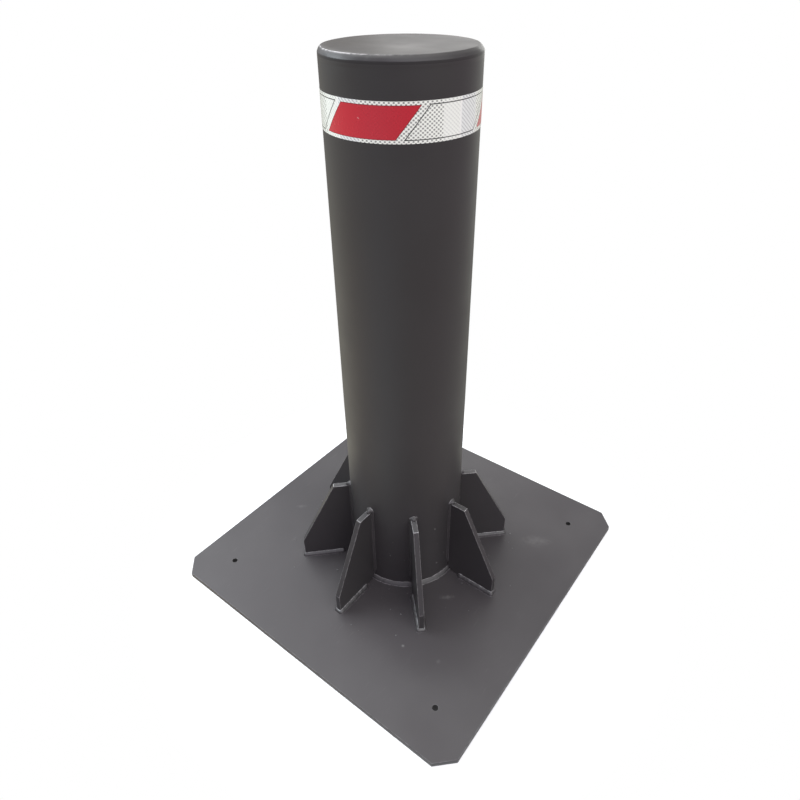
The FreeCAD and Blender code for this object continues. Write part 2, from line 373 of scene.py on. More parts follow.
@dataclass(frozen=True)
class SteelPaint:
    """Satin anthracite coating on steel: orange peel, scuffs, smudges, dusting with painted top light,
    abraded edges with painted highlights, and painted shade on upright faces and in bores.
    """

    name: str
    tone: Colour = (0.036, 0.0335, 0.0345)
    # Pale tone of the dusting and scuffs, which also paints light on faces that look up.
    dust_and_light_tone: Colour = (0.16, 0.155, 0.15)
    # Pale tone of abraded edges and of the painted highlights on them.
    rubbed_and_highlight_tone: Colour = (0.42, 0.41, 0.41)
    # Near-black tone of the painted shade on upright faces and in the anchor bores.
    painted_shade_tone: Colour = (0.004, 0.0035, 0.0035)
    mottle: float = 0.18
    roughness: float = 0.4
    smear: float = 0.16
    dust_matting: float = 0.9
    scuff_matting: float = 0.2
    bore_shade_matting: float = 0.4
    specular: float = 0.5
    peel_depth: float = 0.048 * MM
    peel_scale: float = 420.0
    # How much the faces that look up are dusted and lit by painted light.
    dust_and_light: float = 0.05
    scuffs: float = 0.0
    # How bright the marked edges are painted, for abrasion and painted highlight, less where they stand
    # upright.
    wear_and_highlight: float = 0.5
    upright_wear_and_highlight: float = 0.35
    # Strength of the painted shade on upright faces.
    upright_shade: float = 0.0
    smudges: tuple[Smudge, ...] = ()

    def material(self) -> bpy.types.Material:
        """Build the coating's material.

        Returns:
            The node material, patterned on Object coordinates.
        """
        made = bpy.data.materials.new(self.name)
        made.use_nodes = True
        graph = Graph(made.node_tree)
        surface = graph.tree.nodes["Principled BSDF"]
        coordinates = graph.node("ShaderNodeTexCoord").outputs
        place = coordinates["Object"]
        facing_up = graph.split(coordinates["Normal"])[2]
        upward = graph.band(facing_up, 0.6, 0.95)

        # Dusting on faces that look up, which also paints light on their tops.
        dusty_and_lit = self._dust_and_light(graph, place, upward)
        scuffed = self._scuffs(graph, place, upward)
        # Edges painted bright: partly abrasion, partly painted highlight.
        rubbed_and_highlit = self._rubbed_and_highlit(graph, place, facing_up)
        # Painted shade: upright faces are darkened towards near black.
        upright_shaded = graph.band(graph.math("ABSOLUTE", facing_up), 0.25, 0.7, self.upright_shade, 0.0)
        # Painted shade: the walls of the anchor bores are darkened towards near black.
        bore = graph.node("ShaderNodeAttribute", attribute_name=BORE).outputs["Fac"]
        covers = [(dusty_and_lit, self.dust_and_light_tone), (scuffed, self.dust_and_light_tone), (rubbed_and_highlit, self.rubbed_and_highlight_tone)]
        covers += [(upright_shaded, self.painted_shade_tone), (bore, self.painted_shade_tone)]
        colour = self._ground(graph, place)
        for cover, tone in covers:
            colour = graph.blend(cover, colour, opaque(tone))
        graph.feed(surface.inputs["Base Color"], colour)

        smear = graph.noise(place, scale=22.0, detail=4.0, seed=1.3)
        rough = graph.math("MULTIPLY_ADD", smear, self.smear, self.roughness - self.smear / 2)
        matting = ((dusty_and_lit, self.dust_matting), (scuffed, self.scuff_matting), (bore, self.bore_shade_matting))
        for cover, gain in matting:
            rough = graph.math("MULTIPLY_ADD", cover, gain, rough)
        graph.feed(surface.inputs["Roughness"], rough)
        surface.inputs["Specular IOR Level"].default_value = self.specular
        graph.feed(surface.inputs["Normal"], self._peel(graph, place, scuffed))
        return made

    def _ground(self, graph: Graph, place: Socket) -> Socket:
        """Mottle the coating's own colour, in wide clouds and fine specks.

        Args:
            graph: The material's node graph.
            place: Object coordinates.

        Returns:
            The clean coating's colour.
        """
        cloud = graph.noise(place, scale=7.0, detail=3.0)
        speck = graph.noise(place, scale=900.0, detail=1.0)
        shade = graph.math("MULTIPLY_ADD", speck, 0.35, graph.math("MULTIPLY", cloud, 0.65))
        return graph.blend(shade, shaded(self.tone, 1 - self.mottle), shaded(self.tone, 1 + self.mottle))

    def _dust_and_light(self, graph: Graph, place: Socket, upward: Socket) -> Socket:
        """Lay an uneven dusting on the faces that look up, which also paints light on their tops.

        Args:
            graph: The material's node graph.
            place: Object coordinates.
            upward: How far each face looks up, from 0 to 1.

        Returns:
            The cover of dusting and painted top light, from 0 to 1.
        """
        film = graph.noise(place, scale=6.0, detail=5.0, seed=3.1)
        film = graph.band(film, 0.38, 0.72, 0.15, 1.0)
        return graph.math("MULTIPLY", graph.math("MULTIPLY", film, upward), self.dust_and_light)

    def _scuffs(self, graph: Graph, place: Socket, upward: Socket) -> Socket:
        """Draw short light scuffs in two directions, and the smudges, on the faces that look up.

        Args:
            graph: The material's node graph.
            place: Object coordinates.
            upward: How far each face looks up, from 0 to 1.

        Returns:
            The strength of the marks, from 0 to 1.
        """
        if not self.scuffs and not self.smudges:
            return graph.math("MULTIPLY", upward, 0.0)
        total: Value = 0.0
        for turn, seed in ((0.55, 11.0), (-1.1, 23.0)):
            inputs = {"Vector": place, "Rotation": (0.0, 0.0, turn), "Scale": (24.0, 170.0, 1.0)}
            turned = graph.node("ShaderNodeMapping", inputs).outputs[0]
            line = graph.band(graph.noise(turned, scale=1.0, detail=3.0, seed=seed), 0.6, 0.74)
            where = graph.band(graph.noise(place, scale=9.0, detail=2.0, seed=seed + 1), 0.5, 0.66)
            total = graph.math("MULTIPLY_ADD", line, where, total)
        total = graph.math("MULTIPLY", total, self.scuffs)
        for smudge in self.smudges:
            total = graph.math("ADD", total, smudge.mark(graph, place))
        return graph.math("MULTIPLY", total, upward)

    def _rubbed_and_highlit(self, graph: Graph, place: Socket, facing_up: Socket) -> Socket:
        """Paint the marked edges bright in patches, most of all where they look up: abrasion and painted
        highlight.

        Args:
            graph: The material's node graph.
            place: Object coordinates.
            facing_up: Upward part of each face's normal.

        Returns:
            How brightly each edge is painted, from 0 to 1.
        """
        edge = graph.node("ShaderNodeAttribute", attribute_name=ARRIS).outputs["Fac"]
        patches = graph.band(graph.noise(place, scale=160.0, detail=4.0, seed=5.7), 0.3, 0.6)
        exposed = graph.band(facing_up, 0.35, 0.65, self.wear_and_highlight * self.upright_wear_and_highlight, self.wear_and_highlight)
        return graph.math("MULTIPLY", graph.math("MULTIPLY", edge, patches), exposed)

    def _peel(self, graph: Graph, place: Socket, scuffed: Socket) -> Socket:
        """Roughen the coating with orange peel and fine grain, cut through by the scuffs.

        Args:
            graph: The material's node graph.
            place: Object coordinates.
            scuffed: The strength of the scuffs.

        Returns:
            The bumped normal.
        """
        peel = graph.noise(place, scale=self.peel_scale, detail=2.0, seed=2.2)
        grain = graph.noise(place, scale=self.peel_scale * 5, detail=1.0, seed=4.4)
        height = graph.math("MULTIPLY_ADD", grain, 0.25, peel)
        height = graph.math("SUBTRACT", height, graph.math("MULTIPLY", scuffed, 0.6))
        inputs = {"Distance": self.peel_depth, "Height": height, "Strength": 0.25}
        return graph.node("ShaderNodeBump", inputs).outputs[0]


@dataclass(frozen=True)
class TapePrint:
    """White prismatic film printed with slanted red blocks and thinly outlined white panels.

    Lengths run round the tube (along) from the -X side, anticlockwise seen from above, and up the tape.
    """

    name: str
    strip_start: float
    strip_length: float
    width: float
    period: float = 240 * MM
    red_start: float = -28.2 * MM
    red_length: float = 109.3 * MM
    gap: float = 11.4 * MM
    border: float = 4.5 * MM
    border_cells: float = 0.32
    slant: float = 0.81
    keyline: float = 1.15 * MM
    cell_along: float = 6.0 * MM
    cell_up: float = 5.1 * MM
    tile: float = 172.7 * MM
    tile_start: float = 16 * MM
    tile_blur: float = 3 * MM
    open_cells: float = 112 * MM
    # Where one thin painted glint line crosses the film, within each tile.
    glint_place: float = 139 * MM
    nick_along: float = 15.8 * MM
    nick_up: float = 28.9 * MM
    white: Colour = (0.92, 0.94, 0.87)
    grey: Colour = (0.17, 0.17, 0.17)
    silver: Colour = (0.8, 0.82, 0.82)
    glint: Colour = (0.93, 0.93, 0.9)
    red: Colour = (0.53, 0.022, 0.04)
    deep_red: Colour = (0.16, 0.006, 0.014)
    bare: Colour = (0.72, 0.36, 0.36)
    ink: Colour = (0.02, 0.02, 0.022)

    def material(self) -> bpy.types.Material:
        """Build the film's material.

        Returns:
            The node material, drawn on the tape's own UV map.
        """
        made = bpy.data.materials.new(self.name)
        made.use_nodes = True
        graph = Graph(made.node_tree)
        surface = graph.tree.nodes["Principled BSDF"]
        coordinates = graph.node("ShaderNodeTexCoord").outputs
        place = coordinates["Object"]
        uv = graph.split(coordinates["UV"])
        along = graph.math("MULTIPLY_ADD", uv[0], self.strip_length, self.strip_start)
        up = graph.math("MULTIPLY", uv[1], self.width)
        off_middle = graph.math("SUBTRACT", up, self.width / 2)
        inside_up = graph.math("ABSOLUTE", off_middle)
        inside_up = graph.math("SUBTRACT", self.width / 2 - self.border, inside_up)
        phase = graph.math("MULTIPLY_ADD", off_middle, -self.slant, along)
        phase = graph.math("SUBTRACT", phase, self.red_start)
        phase = graph.math("FLOORED_MODULO", phase, self.period)

        tiled = graph.math("SUBTRACT", along, self.tile_start)
        tiled = graph.math("FLOORED_MODULO", tiled, self.tile)
        opened = self._opened(graph, tiled)
        cells = self._cells(graph, along, up, opened, inside_up)
        ground = self._ground(graph, along, up, tiled, cells, opened)
        panel_start, panel_end = self.red_length + self.gap, self.period - self.gap
        panel = self._inside(graph, phase, panel_start, panel_end, inside_up)
        thin, thick = self.keyline * 0.35, self.keyline * 0.65
        line = graph.band(graph.math("ABSOLUTE", panel), thin, thick, 1.0, 0.0)
        colour = graph.blend(line, ground, opaque(self.ink))

        red = self._inside(graph, phase, 0.0, self.red_length, inside_up)
        block = self._block(graph, place, along, up, cells, red)
        colour = graph.blend(graph.band(red, -0.15 * MM, 0.15 * MM), colour, block)
        graph.feed(surface.inputs["Base Color"], colour)

        smear = graph.noise(place, scale=60.0, detail=3.0, seed=2.0)
        graph.feed(surface.inputs["Roughness"], graph.math("MULTIPLY_ADD", smear, 0.06, 0.24))
        surface.inputs["Coat Weight"].default_value = 0.35
        surface.inputs["Coat Roughness"].default_value = 0.12
        height = graph.math("MULTIPLY_ADD", smear, 0.1, cells)
        inputs = {"Distance": 0.03 * MM, "Height": height, "Strength": 0.3}
        graph.feed(surface.inputs["Normal"], graph.node("ShaderNodeBump", inputs).outputs[0])
        return made

    def _opened(self, graph: Graph, tiled: Socket) -> Socket:
        """Find where the cells of the film stand open.

        Args:
            graph: The material's node graph.
            tiled: Length round the tube, within one tile.

        Returns:
            1 where the cells stand open and 0 elsewhere, with soft edges.
        """
        begun = graph.band(tiled, 0.0, self.tile_blur)
        lasting = graph.band(tiled, self.open_cells - self.tile_blur, self.open_cells, 1.0, 0.0)
        return graph.math("MULTIPLY", begun, lasting)

    def _cells(
        self, graph: Graph, along: Socket, up: Socket, opened: Socket, inside_up: Socket
    ) -> Socket:
        """Draw the staggered cells of the film, dark where it is open and paler on its borders.

        Args:
            graph: The material's node graph.
            along: Length round the tube.
            up: Height on the tape.
            opened: Where the cells stand open.
            inside_up: Distance inside the borders.

        Returns:
            How dark each cell is, from 0 to 1.
        """
        wave_along = graph.math("MULTIPLY", along, 2 * math.pi / self.cell_along)
        wave_up = graph.math("MULTIPLY", up, 2 * math.pi / self.cell_up)
        waves = graph.math("MULTIPLY", graph.math("COSINE", wave_along), graph.math("COSINE", wave_up))
        dots = graph.band(waves, -0.2, 0.7)
        edging = graph.band(inside_up, -0.5 * MM, 0.5 * MM, self.border_cells, 0.0)
        strength = graph.math("MAXIMUM", graph.band(opened, 0.0, 1.0, 0.14, 1.0), edging)
        return graph.math("MULTIPLY", dots, strength)

    def _ground(
        self, graph: Graph, along: Socket, up: Socket, tiled: Socket, cells: Socket, opened: Socket
    ) -> Socket:
        """Colour the unprinted film: white with grey cells, silvery hatching between the open tiles and
        one painted glint line.

        Args:
            graph: The material's node graph.
            along: Length round the tube.
            up: Height on the tape.
            tiled: Length round the tube, within one tile.
            cells: How dark each cell is.
            opened: Where the cells stand open.

        Returns:
            The film's colour.
        """
        slanted = graph.math("MULTIPLY_ADD", up, self.cell_along / self.cell_up, along)
        turns = graph.math("MULTIPLY", slanted, 2 * math.pi / self.cell_along)
        hatch = graph.band(graph.math("COSINE", turns), -0.2, 0.9, 0.0, 0.6)
        late = graph.band(tiled, self.glint_place - 2 * MM, self.glint_place + 4 * MM)
        closed = graph.math("SUBTRACT", 1.0, opened)
        silvered = graph.math("MULTIPLY", closed, graph.band(late, 0.0, 1.0, 0.12, 0.75))
        hatched = graph.math("MULTIPLY", closed, graph.band(late, 0.0, 1.0, 0.35, 1.0))
        hatched = graph.math("MULTIPLY", hatch, hatched)
        away = graph.math("ABSOLUTE", graph.math("SUBTRACT", tiled, self.glint_place))
        # Painted glint: one thin light line across the film.
        glint_line = graph.band(away, 0.8 * MM, 2.4 * MM, 0.8, 0.0)
        film = graph.blend(silvered, opaque(self.white), opaque(self.silver))
        film = graph.blend(hatched, film, shaded(self.silver, 0.6))
        film = graph.blend(graph.math("MULTIPLY", cells, 0.85), film, opaque(self.grey))
        return graph.blend(glint_line, film, opaque(self.glint))

    def _block(
        self, graph: Graph, place: Socket, along: Socket, up: Socket, cells: Socket, red: Socket
    ) -> Socket:
        """Colour the red blocks, with a darker rim and one nick.

        Args:
            graph: The material's node graph.
            place: Object coordinates.
            along: Length round the tube.
            up: Height on the tape.
            cells: How dark each cell of the film is.
            red: Distance inside the nearest edge of a block.

        Returns:
            The blocks' colour.
        """
        fade = graph.noise(place, scale=14.0, detail=3.0)
        block = graph.blend(fade, shaded(self.red, 0.97), shaded(self.red, 1.03))
        block = graph.blend(graph.math("MULTIPLY", cells, 0.16), block, shaded(self.red, 0.6))
        rim = graph.band(red, 0.3 * MM, 1.2 * MM, 0.85, 0.0)
        block = graph.blend(rim, block, opaque(self.deep_red))
        return graph.blend(self._nick(graph, along, up), block, opaque(self.bare))

    def _inside(
        self, graph: Graph, phase: Socket, start: float, end: float, inside_up: Socket
    ) -> Socket:
        """Measure how far a point lies inside a slanted block of the print.

        Args:
            graph: The material's node graph.
            phase: Length along the slanted pattern, within one period.
            start: Where the block begins.
            end: Where the block ends.
            inside_up: Distance inside the block's upper and lower edges.

        Returns:
            The distance inside the nearest edge, negative outside.
        """
        square = math.cos(math.atan(self.slant))
        from_start = graph.math("SUBTRACT", phase, start)
        to_end = graph.math("SUBTRACT", end, phase)
        sideways = graph.math("MULTIPLY", graph.math("MINIMUM", from_start, to_end), square)
        return graph.math("MINIMUM", sideways, inside_up)

    def _nick(self, graph: Graph, along: Socket, up: Socket) -> Socket:
        """Mark one small light scratch on the front red block.

        Args:
            graph: The material's node graph.
            along: Length round the tube.
            up: Height on the tape.

        Returns:
            The scratch's strength, from 0 to 1.
        """
        far_along = graph.math("SUBTRACT", along, self.nick_along)
        far_up = graph.math("SUBTRACT", up, self.nick_up)
        tilted = graph.math("MULTIPLY_ADD", far_up, -0.6, far_along)
        across = graph.math("MULTIPLY", graph.math("MULTIPLY_ADD", far_along, 0.6, far_up), 2.4)
        reach = graph.length(graph.combine(tilted, across, 0.0))
        return graph.band(reach, 0.9 * MM, 2.2 * MM, 0.9, 0.0)


# ---------------------------------------------------------------------------- mesh making


class Shop:
    """Makes, softens and dresses the bollard's mesh pieces and puts them on the root body."""

    @staticmethod
    def piece(name: str, vertices: np.ndarray | list, faces: list[list[int]]) -> bpy.types.Object:
        """Make a mesh object with its place in its mesh.

        Args:
            name: The piece's name.
            vertices: Its points.
            faces: Lists of point numbers, one for each face.

        Returns:
            The new object, linked to the scene.
        """
        mesh = bpy.data.meshes.new(name)
        mesh.from_pydata([tuple(point) for point in vertices], [], faces)
        return Shop.linked(name, mesh)

    @staticmethod
    def linked(name: str, mesh: bpy.types.Mesh) -> bpy.types.Object:
        """Link a new object that shows a mesh.

        Args:
            name: The object's name.
            mesh: Its mesh.

        Returns:
            The new object.
        """
        made = bpy.data.objects.new(name, mesh)
        bpy.context.scene.collection.objects.link(made)
        return made

    @staticmethod
    def lathe(name: str, outline_at: Callable[[float], Outline], steps: int) -> bpy.types.Object:
        """Turn a closed outline once round the Z axis.

        Args:
            name: The piece's name.
            outline_at: Gives the outline at an angle, as points (radius, height) in anticlockwise
                order; a radius of 0 closes on the axis.
            steps: Flats round the axis.

        Returns:
            The turned piece.
        """
        angles = np.linspace(0.0, 2 * math.pi, steps, endpoint=False)
        outlines = [outline_at(angle) for angle in angles]
        rings: list[list[int]] = []
        vertices: list[tuple[float, float, float]] = []
        for number in range(len(outlines[0])):
            ring = [outline[number] for outline in outlines]
            if ring[0][0] == 0:
                rings.append([len(vertices)] * steps)
                vertices.append((0.0, 0.0, ring[0][1]))
                continue
            rings.append(list(range(len(vertices), len(vertices) + steps)))
            vertices += [(r * math.cos(a), r * math.sin(a), z) for (r, z), a in zip(ring, angles)]
        faces = []
        for ring, above in zip(rings, rings[1:] + rings[:1]):
            for step, after in Shop.rounds(steps):
                corners = [ring[step], ring[after], above[after], above[step]]
                face = list(dict.fromkeys(corners))
                if len(face) > 2:
                    faces.append(face)
        made = Shop.piece(name, vertices, faces)
        Shop.settle(made)
        return made

    @staticmethod
    def rounds(count: int) -> list[tuple[int, int]]:
        """Pair each of a ring's numbers with the next, back to the first."""
        return [(step, (step + 1) % count) for step in range(count)]

    @staticmethod
    def settle(piece: bpy.types.Object, sharp_angle: float = 40.0) -> None:
        """Turn a piece's faces outwards and shade it smooth.

        Args:
            piece: The piece.
            sharp_angle: Angle in degrees above which its edges stay sharp.
        """
        bm = bmesh.new()
        bm.from_mesh(piece.data)
        bmesh.ops.recalc_face_normals(bm, faces=bm.faces)
        bm.to_mesh(piece.data)
        bm.free()
        piece.data.shade_smooth()
        piece.data.set_sharp_from_angle(angle=math.radians(sharp_angle))

    @staticmethod
    def extruded(
        name: str, outline: Outline, low: float, high: float, holes: Sequence[Outline] = ()
    ) -> bmesh.types.BMesh:
        """Raise a flat outline with holes into a slab.

        Args:
            name: Name for messages.
            outline: The outer points, in the XY plane.
            low: Height of the slab's underside.
            high: Height of its upper side.
            holes: Outlines cut out of it.

        Returns:
            The slab, as an open bmesh.
        """
        bm = bmesh.new()
        for loop in (outline, *holes):
            points = [bm.verts.new((x, y, low)) for x, y in loop]
            for index, point in enumerate(points):
                bm.edges.new((point, points[(index + 1) % len(points)]))
        bmesh.ops.triangle_fill(bm, use_beauty=True, edges=bm.edges[:])
        if not bm.faces:
            raise RuntimeError(f"{name} has no faces")
        grown = bmesh.ops.extrude_face_region(bm, geom=bm.faces[:])["geom"]
        raised = [item for item in grown if isinstance(item, bmesh.types.BMVert)]
        bmesh.ops.translate(bm, vec=(0.0, 0.0, high - low), verts=raised)
        bmesh.ops.recalc_face_normals(bm, faces=bm.faces)
        bmesh.ops.dissolve_limit(bm, angle_limit=math.radians(0.5), verts=bm.verts, edges=bm.edges)
        return bm

    @staticmethod
    def soften(bm: bmesh.types.BMesh, width: float, segments: int = 3) -> None:
        """Round every sharp edge and mark the new faces as arrises, which the paint lightens with
        abrasion and painted highlight.

        Args:
            bm: The open bmesh.
            width: Width of the rounding.
            segments: Faces across it.
        """
        layer = bm.faces.layers.float.new(ARRIS)
        least = math.radians(25)
        sharp = [e for e in bm.edges if len(e.link_faces) == 2 and e.calc_face_angle(0.0) > least]
        made = bmesh.ops.bevel(
            bm,
            geom=sharp,
            offset=width,
            segments=segments,
            profile=0.5,
            affect="EDGES",
            clamp_overlap=True,
        )
        for face in made["faces"]:
            face[layer] = 1.0

    @staticmethod
    def solid(name: str, bm: bmesh.types.BMesh) -> bpy.types.Object:
        """Turn an open bmesh into a smoothly shaded piece.

        Args:
            name: The piece's name.
            bm: The open bmesh, which is freed.

        Returns:
            The new piece.
        """
        mesh = bpy.data.meshes.new(name)
        bmesh.ops.triangulate(bm, faces=[face for face in bm.faces if len(face.verts) > 4])
        bm.to_mesh(mesh)
        bm.free()
        mesh.shade_smooth()
        return Shop.linked(name, mesh)

    @staticmethod
    def flatten(piece: bpy.types.Object) -> None:
        """Shade a piece's large faces flat beside its rounded edges.

        Args:
            piece: The piece.
        """
        weighted = piece.modifiers.new("weighted", "WEIGHTED_NORMAL")
        weighted.weight = 100
        weighted.keep_sharp = True
        Shop.bake(piece)

    @staticmethod
    def bake(piece: bpy.types.Object) -> None:
        """Replace a piece's mesh with the result of its modifiers, and remove them.

        Args:
            piece: The piece.
        """
        graph = bpy.context.evaluated_depsgraph_get()
        result = bpy.data.meshes.new_from_object(piece.evaluated_get(graph))
        piece.modifiers.clear()
        piece.data = result

    @staticmethod
    def deliver(piece: bpy.types.Object, material: bpy.types.Material, slot: Slot, *nodes: str) -> None:
        """Dress a finished piece, put it on the root body and let it stand for its CAD nodes.

        Args:
            piece: The finished mesh object.
            material: Its material.
            slot: The record's material slot; not used.
            *nodes: CAD nodes that it stands for.
        """
        piece.data.materials.clear()
        piece.data.materials.append(material)
        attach(piece, ROOT_BODY)
        if nodes:
            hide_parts(*nodes)
        log.info("%s: %d faces", piece.name, len(piece.data.polygons))


def arc(centre: tuple[float, float], radius: float, start: float, end: float, steps: int) -> Outline:
    """Draw points along an arc, both ends included.

    Args:
        centre: The arc's centre.
        radius: Its radius.
        start: Angle in degrees of its first point.
        end: Angle in degrees of its last point.
        steps: Parts that it is divided into.

    Returns:
        The arc's points.
    """
    angles = np.radians(np.linspace(start, end, steps + 1))
    return [(centre[0] + radius * math.cos(a), centre[1] + radius * math.sin(a)) for a in angles]


def eased(
    before: tuple[float, float], corner: tuple[float, float], after: tuple[float, float], cut: float
) -> Outline:
    """Round a corner of an outline.

    Args:
        before: The point before the corner.
        corner: The corner.
        after: The point after it.
        cut: Length taken off each side of the corner.

    Returns:
        Points along the rounding.
    """
    middle = np.array(corner)
    first = middle + cut * (np.array(before) - middle) / math.dist(before, corner)
    last = middle + cut * (np.array(after) - middle) / math.dist(after, corner)
    steps = np.linspace(0.0, 1.0, 7)
    points = [(1 - t) ** 2 * first + 2 * t * (1 - t) * middle + t**2 * last for t in steps]
    return [(float(x), float(y)) for x, y in points]


# ---------------------------------------------------------------------------- plate, tube, cap and tape


@dataclass
class BasePlate:
    """Square plate with cut-off corners and an anchor hole in each of them."""

    sizes: Sizes
    arris: float = 0.8 * MM
    hole_steps: int = 40

    def build(self, paint: bpy.types.Material) -> None:
        """Build and dress the plate.

        Args:
            paint: The plate's material.
        """
        half, cut = self.sizes.plate_half, self.sizes.plate_half - self.sizes.plate_corner
        outline = [(half, cut), (cut, half), (-cut, half), (-half, cut)]
        outline += [(-x, -y) for x, y in outline]
        offset = self.sizes.hole_offset
        holes = [
            arc((x, y), self.sizes.hole_radius, 0.0, 360.0, self.hole_steps)[:-1]
            for x in (-offset, offset)
            for y in (-offset, offset)
        ]
        slab = Shop.extruded("base_plate", outline, 0.0, self.sizes.plate_top, holes)
        Shop.soften(slab, self.arris)
        self._mark_shaded_bores(slab)
        plate = Shop.solid("plate_painted", slab)
        Shop.flatten(plate)
        Shop.deliver(plate, paint, Slot.STEEL, "base_plate")

    def _mark_shaded_bores(self, slab: bmesh.types.BMesh) -> None:
        """Mark the walls of the anchor holes, which the paint darkens with painted shade.

        Args:
            slab: The plate, as an open bmesh.
        """
        layer = slab.faces.layers.float.new(BORE)
        offset, reach = self.sizes.hole_offset, self.sizes.hole_radius + 0.3 * self.arris
        for face in slab.faces:
            middle = face.calc_center_median()
            if math.hypot(abs(middle.x) - offset, abs(middle.y) - offset) < reach:
                face[layer] = 1.0


@dataclass
class Post:
    """The tube, the cap on its end and the seam weld between them."""

    sizes: Sizes
    edge_cut: float = 0.9 * MM
    bevel_crown: float = 0.5 * MM
    bevel_mean: float = 5.3 * MM
    bevel_swing: float = 1.5 * MM
    bevel_widest: float = 260.0
    facet: float = 0.22 * MM
    nick_angle: float = 195.0
    nick_depth: float = 0.9 * MM
    crown_share: float = 0.9
    crown_lag: float = 1.0
    # Where the painted highlight on the cap's inner edge lies, how far it spreads and reaches in, and
    # how bright it is.
    highlight_angle: float = 165.0
    highlight_spread: float = 38.0
    highlight_reach: float = 0.6 * MM
    highlight_strength: float = 2.0
    seam_crown: float = 0.03 * MM
    steps: int = 384
    seed: int = 5

    def build(
        self, paint: bpy.types.Material, cap_paint: bpy.types.Material, seam_paint: bpy.types.Material
    ) -> None:
        """Build and dress the tube, the cap and the seam.

        Args:
            paint: The tube's material.
            cap_paint: The cap's material.
            seam_paint: The seam's material.
        """
        self._tube(paint)
        self._cap(cap_paint)
        self._seam(seam_paint)

    def _tube(self, paint: bpy.types.Material) -> None:
        """Build the tube as a wall with its end bevelled for the seam.

        Args:
            paint: The tube's material.
        """
        sizes = self.sizes
        radius, bore = sizes.tube_radius, sizes.tube_radius - sizes.tube_wall
        outline = [
            (radius, sizes.plate_top),
            (radius, sizes.tube_top - sizes.seam),
            (radius - sizes.seam, sizes.tube_top),
            (bore, sizes.tube_top),
            (bore, sizes.plate_top),
        ]
        tube = Shop.lathe("tube_painted", lambda angle: outline, self.steps)
        Shop.deliver(tube, paint, Slot.STEEL, "bollard_tube")

    def _bevel_width(self, angle: float) -> float:
        """Return how far the hand-ground bevel reaches in from the tube's surface at an angle.

        Args:
            angle: Direction from the tube's axis, in radians.

        Returns:
            The bevel's width.
        """
        width = self.bevel_mean + self.bevel_swing * math.cos(angle - math.radians(self.bevel_widest))
        off_nick = (math.degrees(angle) - self.nick_angle) / 1.1
        return width + self._facets(angle) + self.nick_depth * math.exp(-(off_nick**2))

    def _facets(self, angle: float) -> float:
        """Return how far hand grinding leaves the bevel off its mean at an angle in radians.

        Args:
            angle: Direction from the tube's axis.

        Returns:
            The difference, which is added to the bevel's width.
        """
        rng = np.random.default_rng(self.seed)
        waves = np.array([9, 14, 23, 37])
        starts = rng.uniform(0, 2 * math.pi, len(waves))
        return float(np.sum(self.facet * np.sin(waves * angle + starts) * 9 / (waves + 4)))

    def _cap_outline(self, angle: float) -> Outline:
        """Draw the cap's outline at an angle: its foot, its side, the ground bevel and its flat top.

        Args:
            angle: Direction from the tube's axis, in radians.

        Returns:
            The outline's points, as (radius, height).
        """
        sizes = self.sizes
        radius, top = sizes.tube_radius, sizes.bollard_top
        foot, low = (radius, sizes.tube_top), (radius, top - sizes.cap_bevel)
        high = (radius - self._bevel_width(angle), top)
        uneven = self.crown_share * self._facets(angle + self.crown_lag)
        crown = (self.bevel_crown + uneven) * math.sqrt(0.5)
        middle = ((low[0] + high[0]) / 2 + crown, (low[1] + high[1]) / 2 + crown)
        flat = [(radius * share, top) for share in (0.85, 0.6, 0.3, 0.0)]
        outline = [(0.0, sizes.tube_top), foot]
        outline += eased(foot, low, middle, self.edge_cut)
        outline += eased(low, middle, high, 2 * self.edge_cut)
        outline += eased(middle, high, flat[0], self.edge_cut)
        return outline + flat

    def _cap(self, paint: bpy.types.Material) -> None:
        """Build the cap, its bevel ground by hand, with a painted highlight along part of its inner
        edge.

        Args:
            paint: The cap's material.
        """
        cap = Shop.lathe("cap_painted", self._cap_outline, self.steps)
        # Painted highlight: a bright band along the bevel's inner edge on one side of the cap, broken at
        # the nick.
        cap_highlight = cap.data.attributes.new(ARRIS, "FLOAT", "POINT")
        for vertex in cap.data.vertices:
            angle = math.degrees(math.atan2(vertex.co.y, vertex.co.x)) % 360
            edge = self.sizes.tube_radius - self._bevel_width(math.radians(angle))
            inside = (math.hypot(vertex.co.x, vertex.co.y) - edge) / self.highlight_reach
            high = vertex.co.z > self.sizes.bollard_top - 2 * MM
            along = (angle - self.highlight_angle) / self.highlight_spread
            past_nick = (angle - self.nick_angle - 1.0) / 1.6
            highlit = math.exp(-(inside**2) - along**2) * (1 - math.exp(-(past_nick**2)))
            cap_highlight.data[vertex.index].value = self.highlight_strength * highlit if high else 0.0
        Shop.deliver(cap, paint, Slot.STEEL, "cap_plate")

    def _seam(self, paint: bpy.types.Material) -> None:
        """Build the seam weld, ground flush with the tube and left a hair proud.

        Args:
            paint: The seam's material.
        """
        sizes = self.sizes
        radius, proud = sizes.tube_radius, sizes.tube_radius + self.seam_crown
        outline = [
            (radius - sizes.seam, sizes.tube_top),
            (radius, sizes.tube_top - sizes.seam),
            (proud, sizes.tube_top - sizes.seam * 0.6),
            (proud, sizes.tube_top - sizes.seam * 0.3),
            (radius, sizes.tube_top),
        ]
        seam = Shop.lathe("seam_ground", lambda angle: outline, self.steps)
        Shop.deliver(seam, paint, Slot.WELD, "cap_seam_weld")


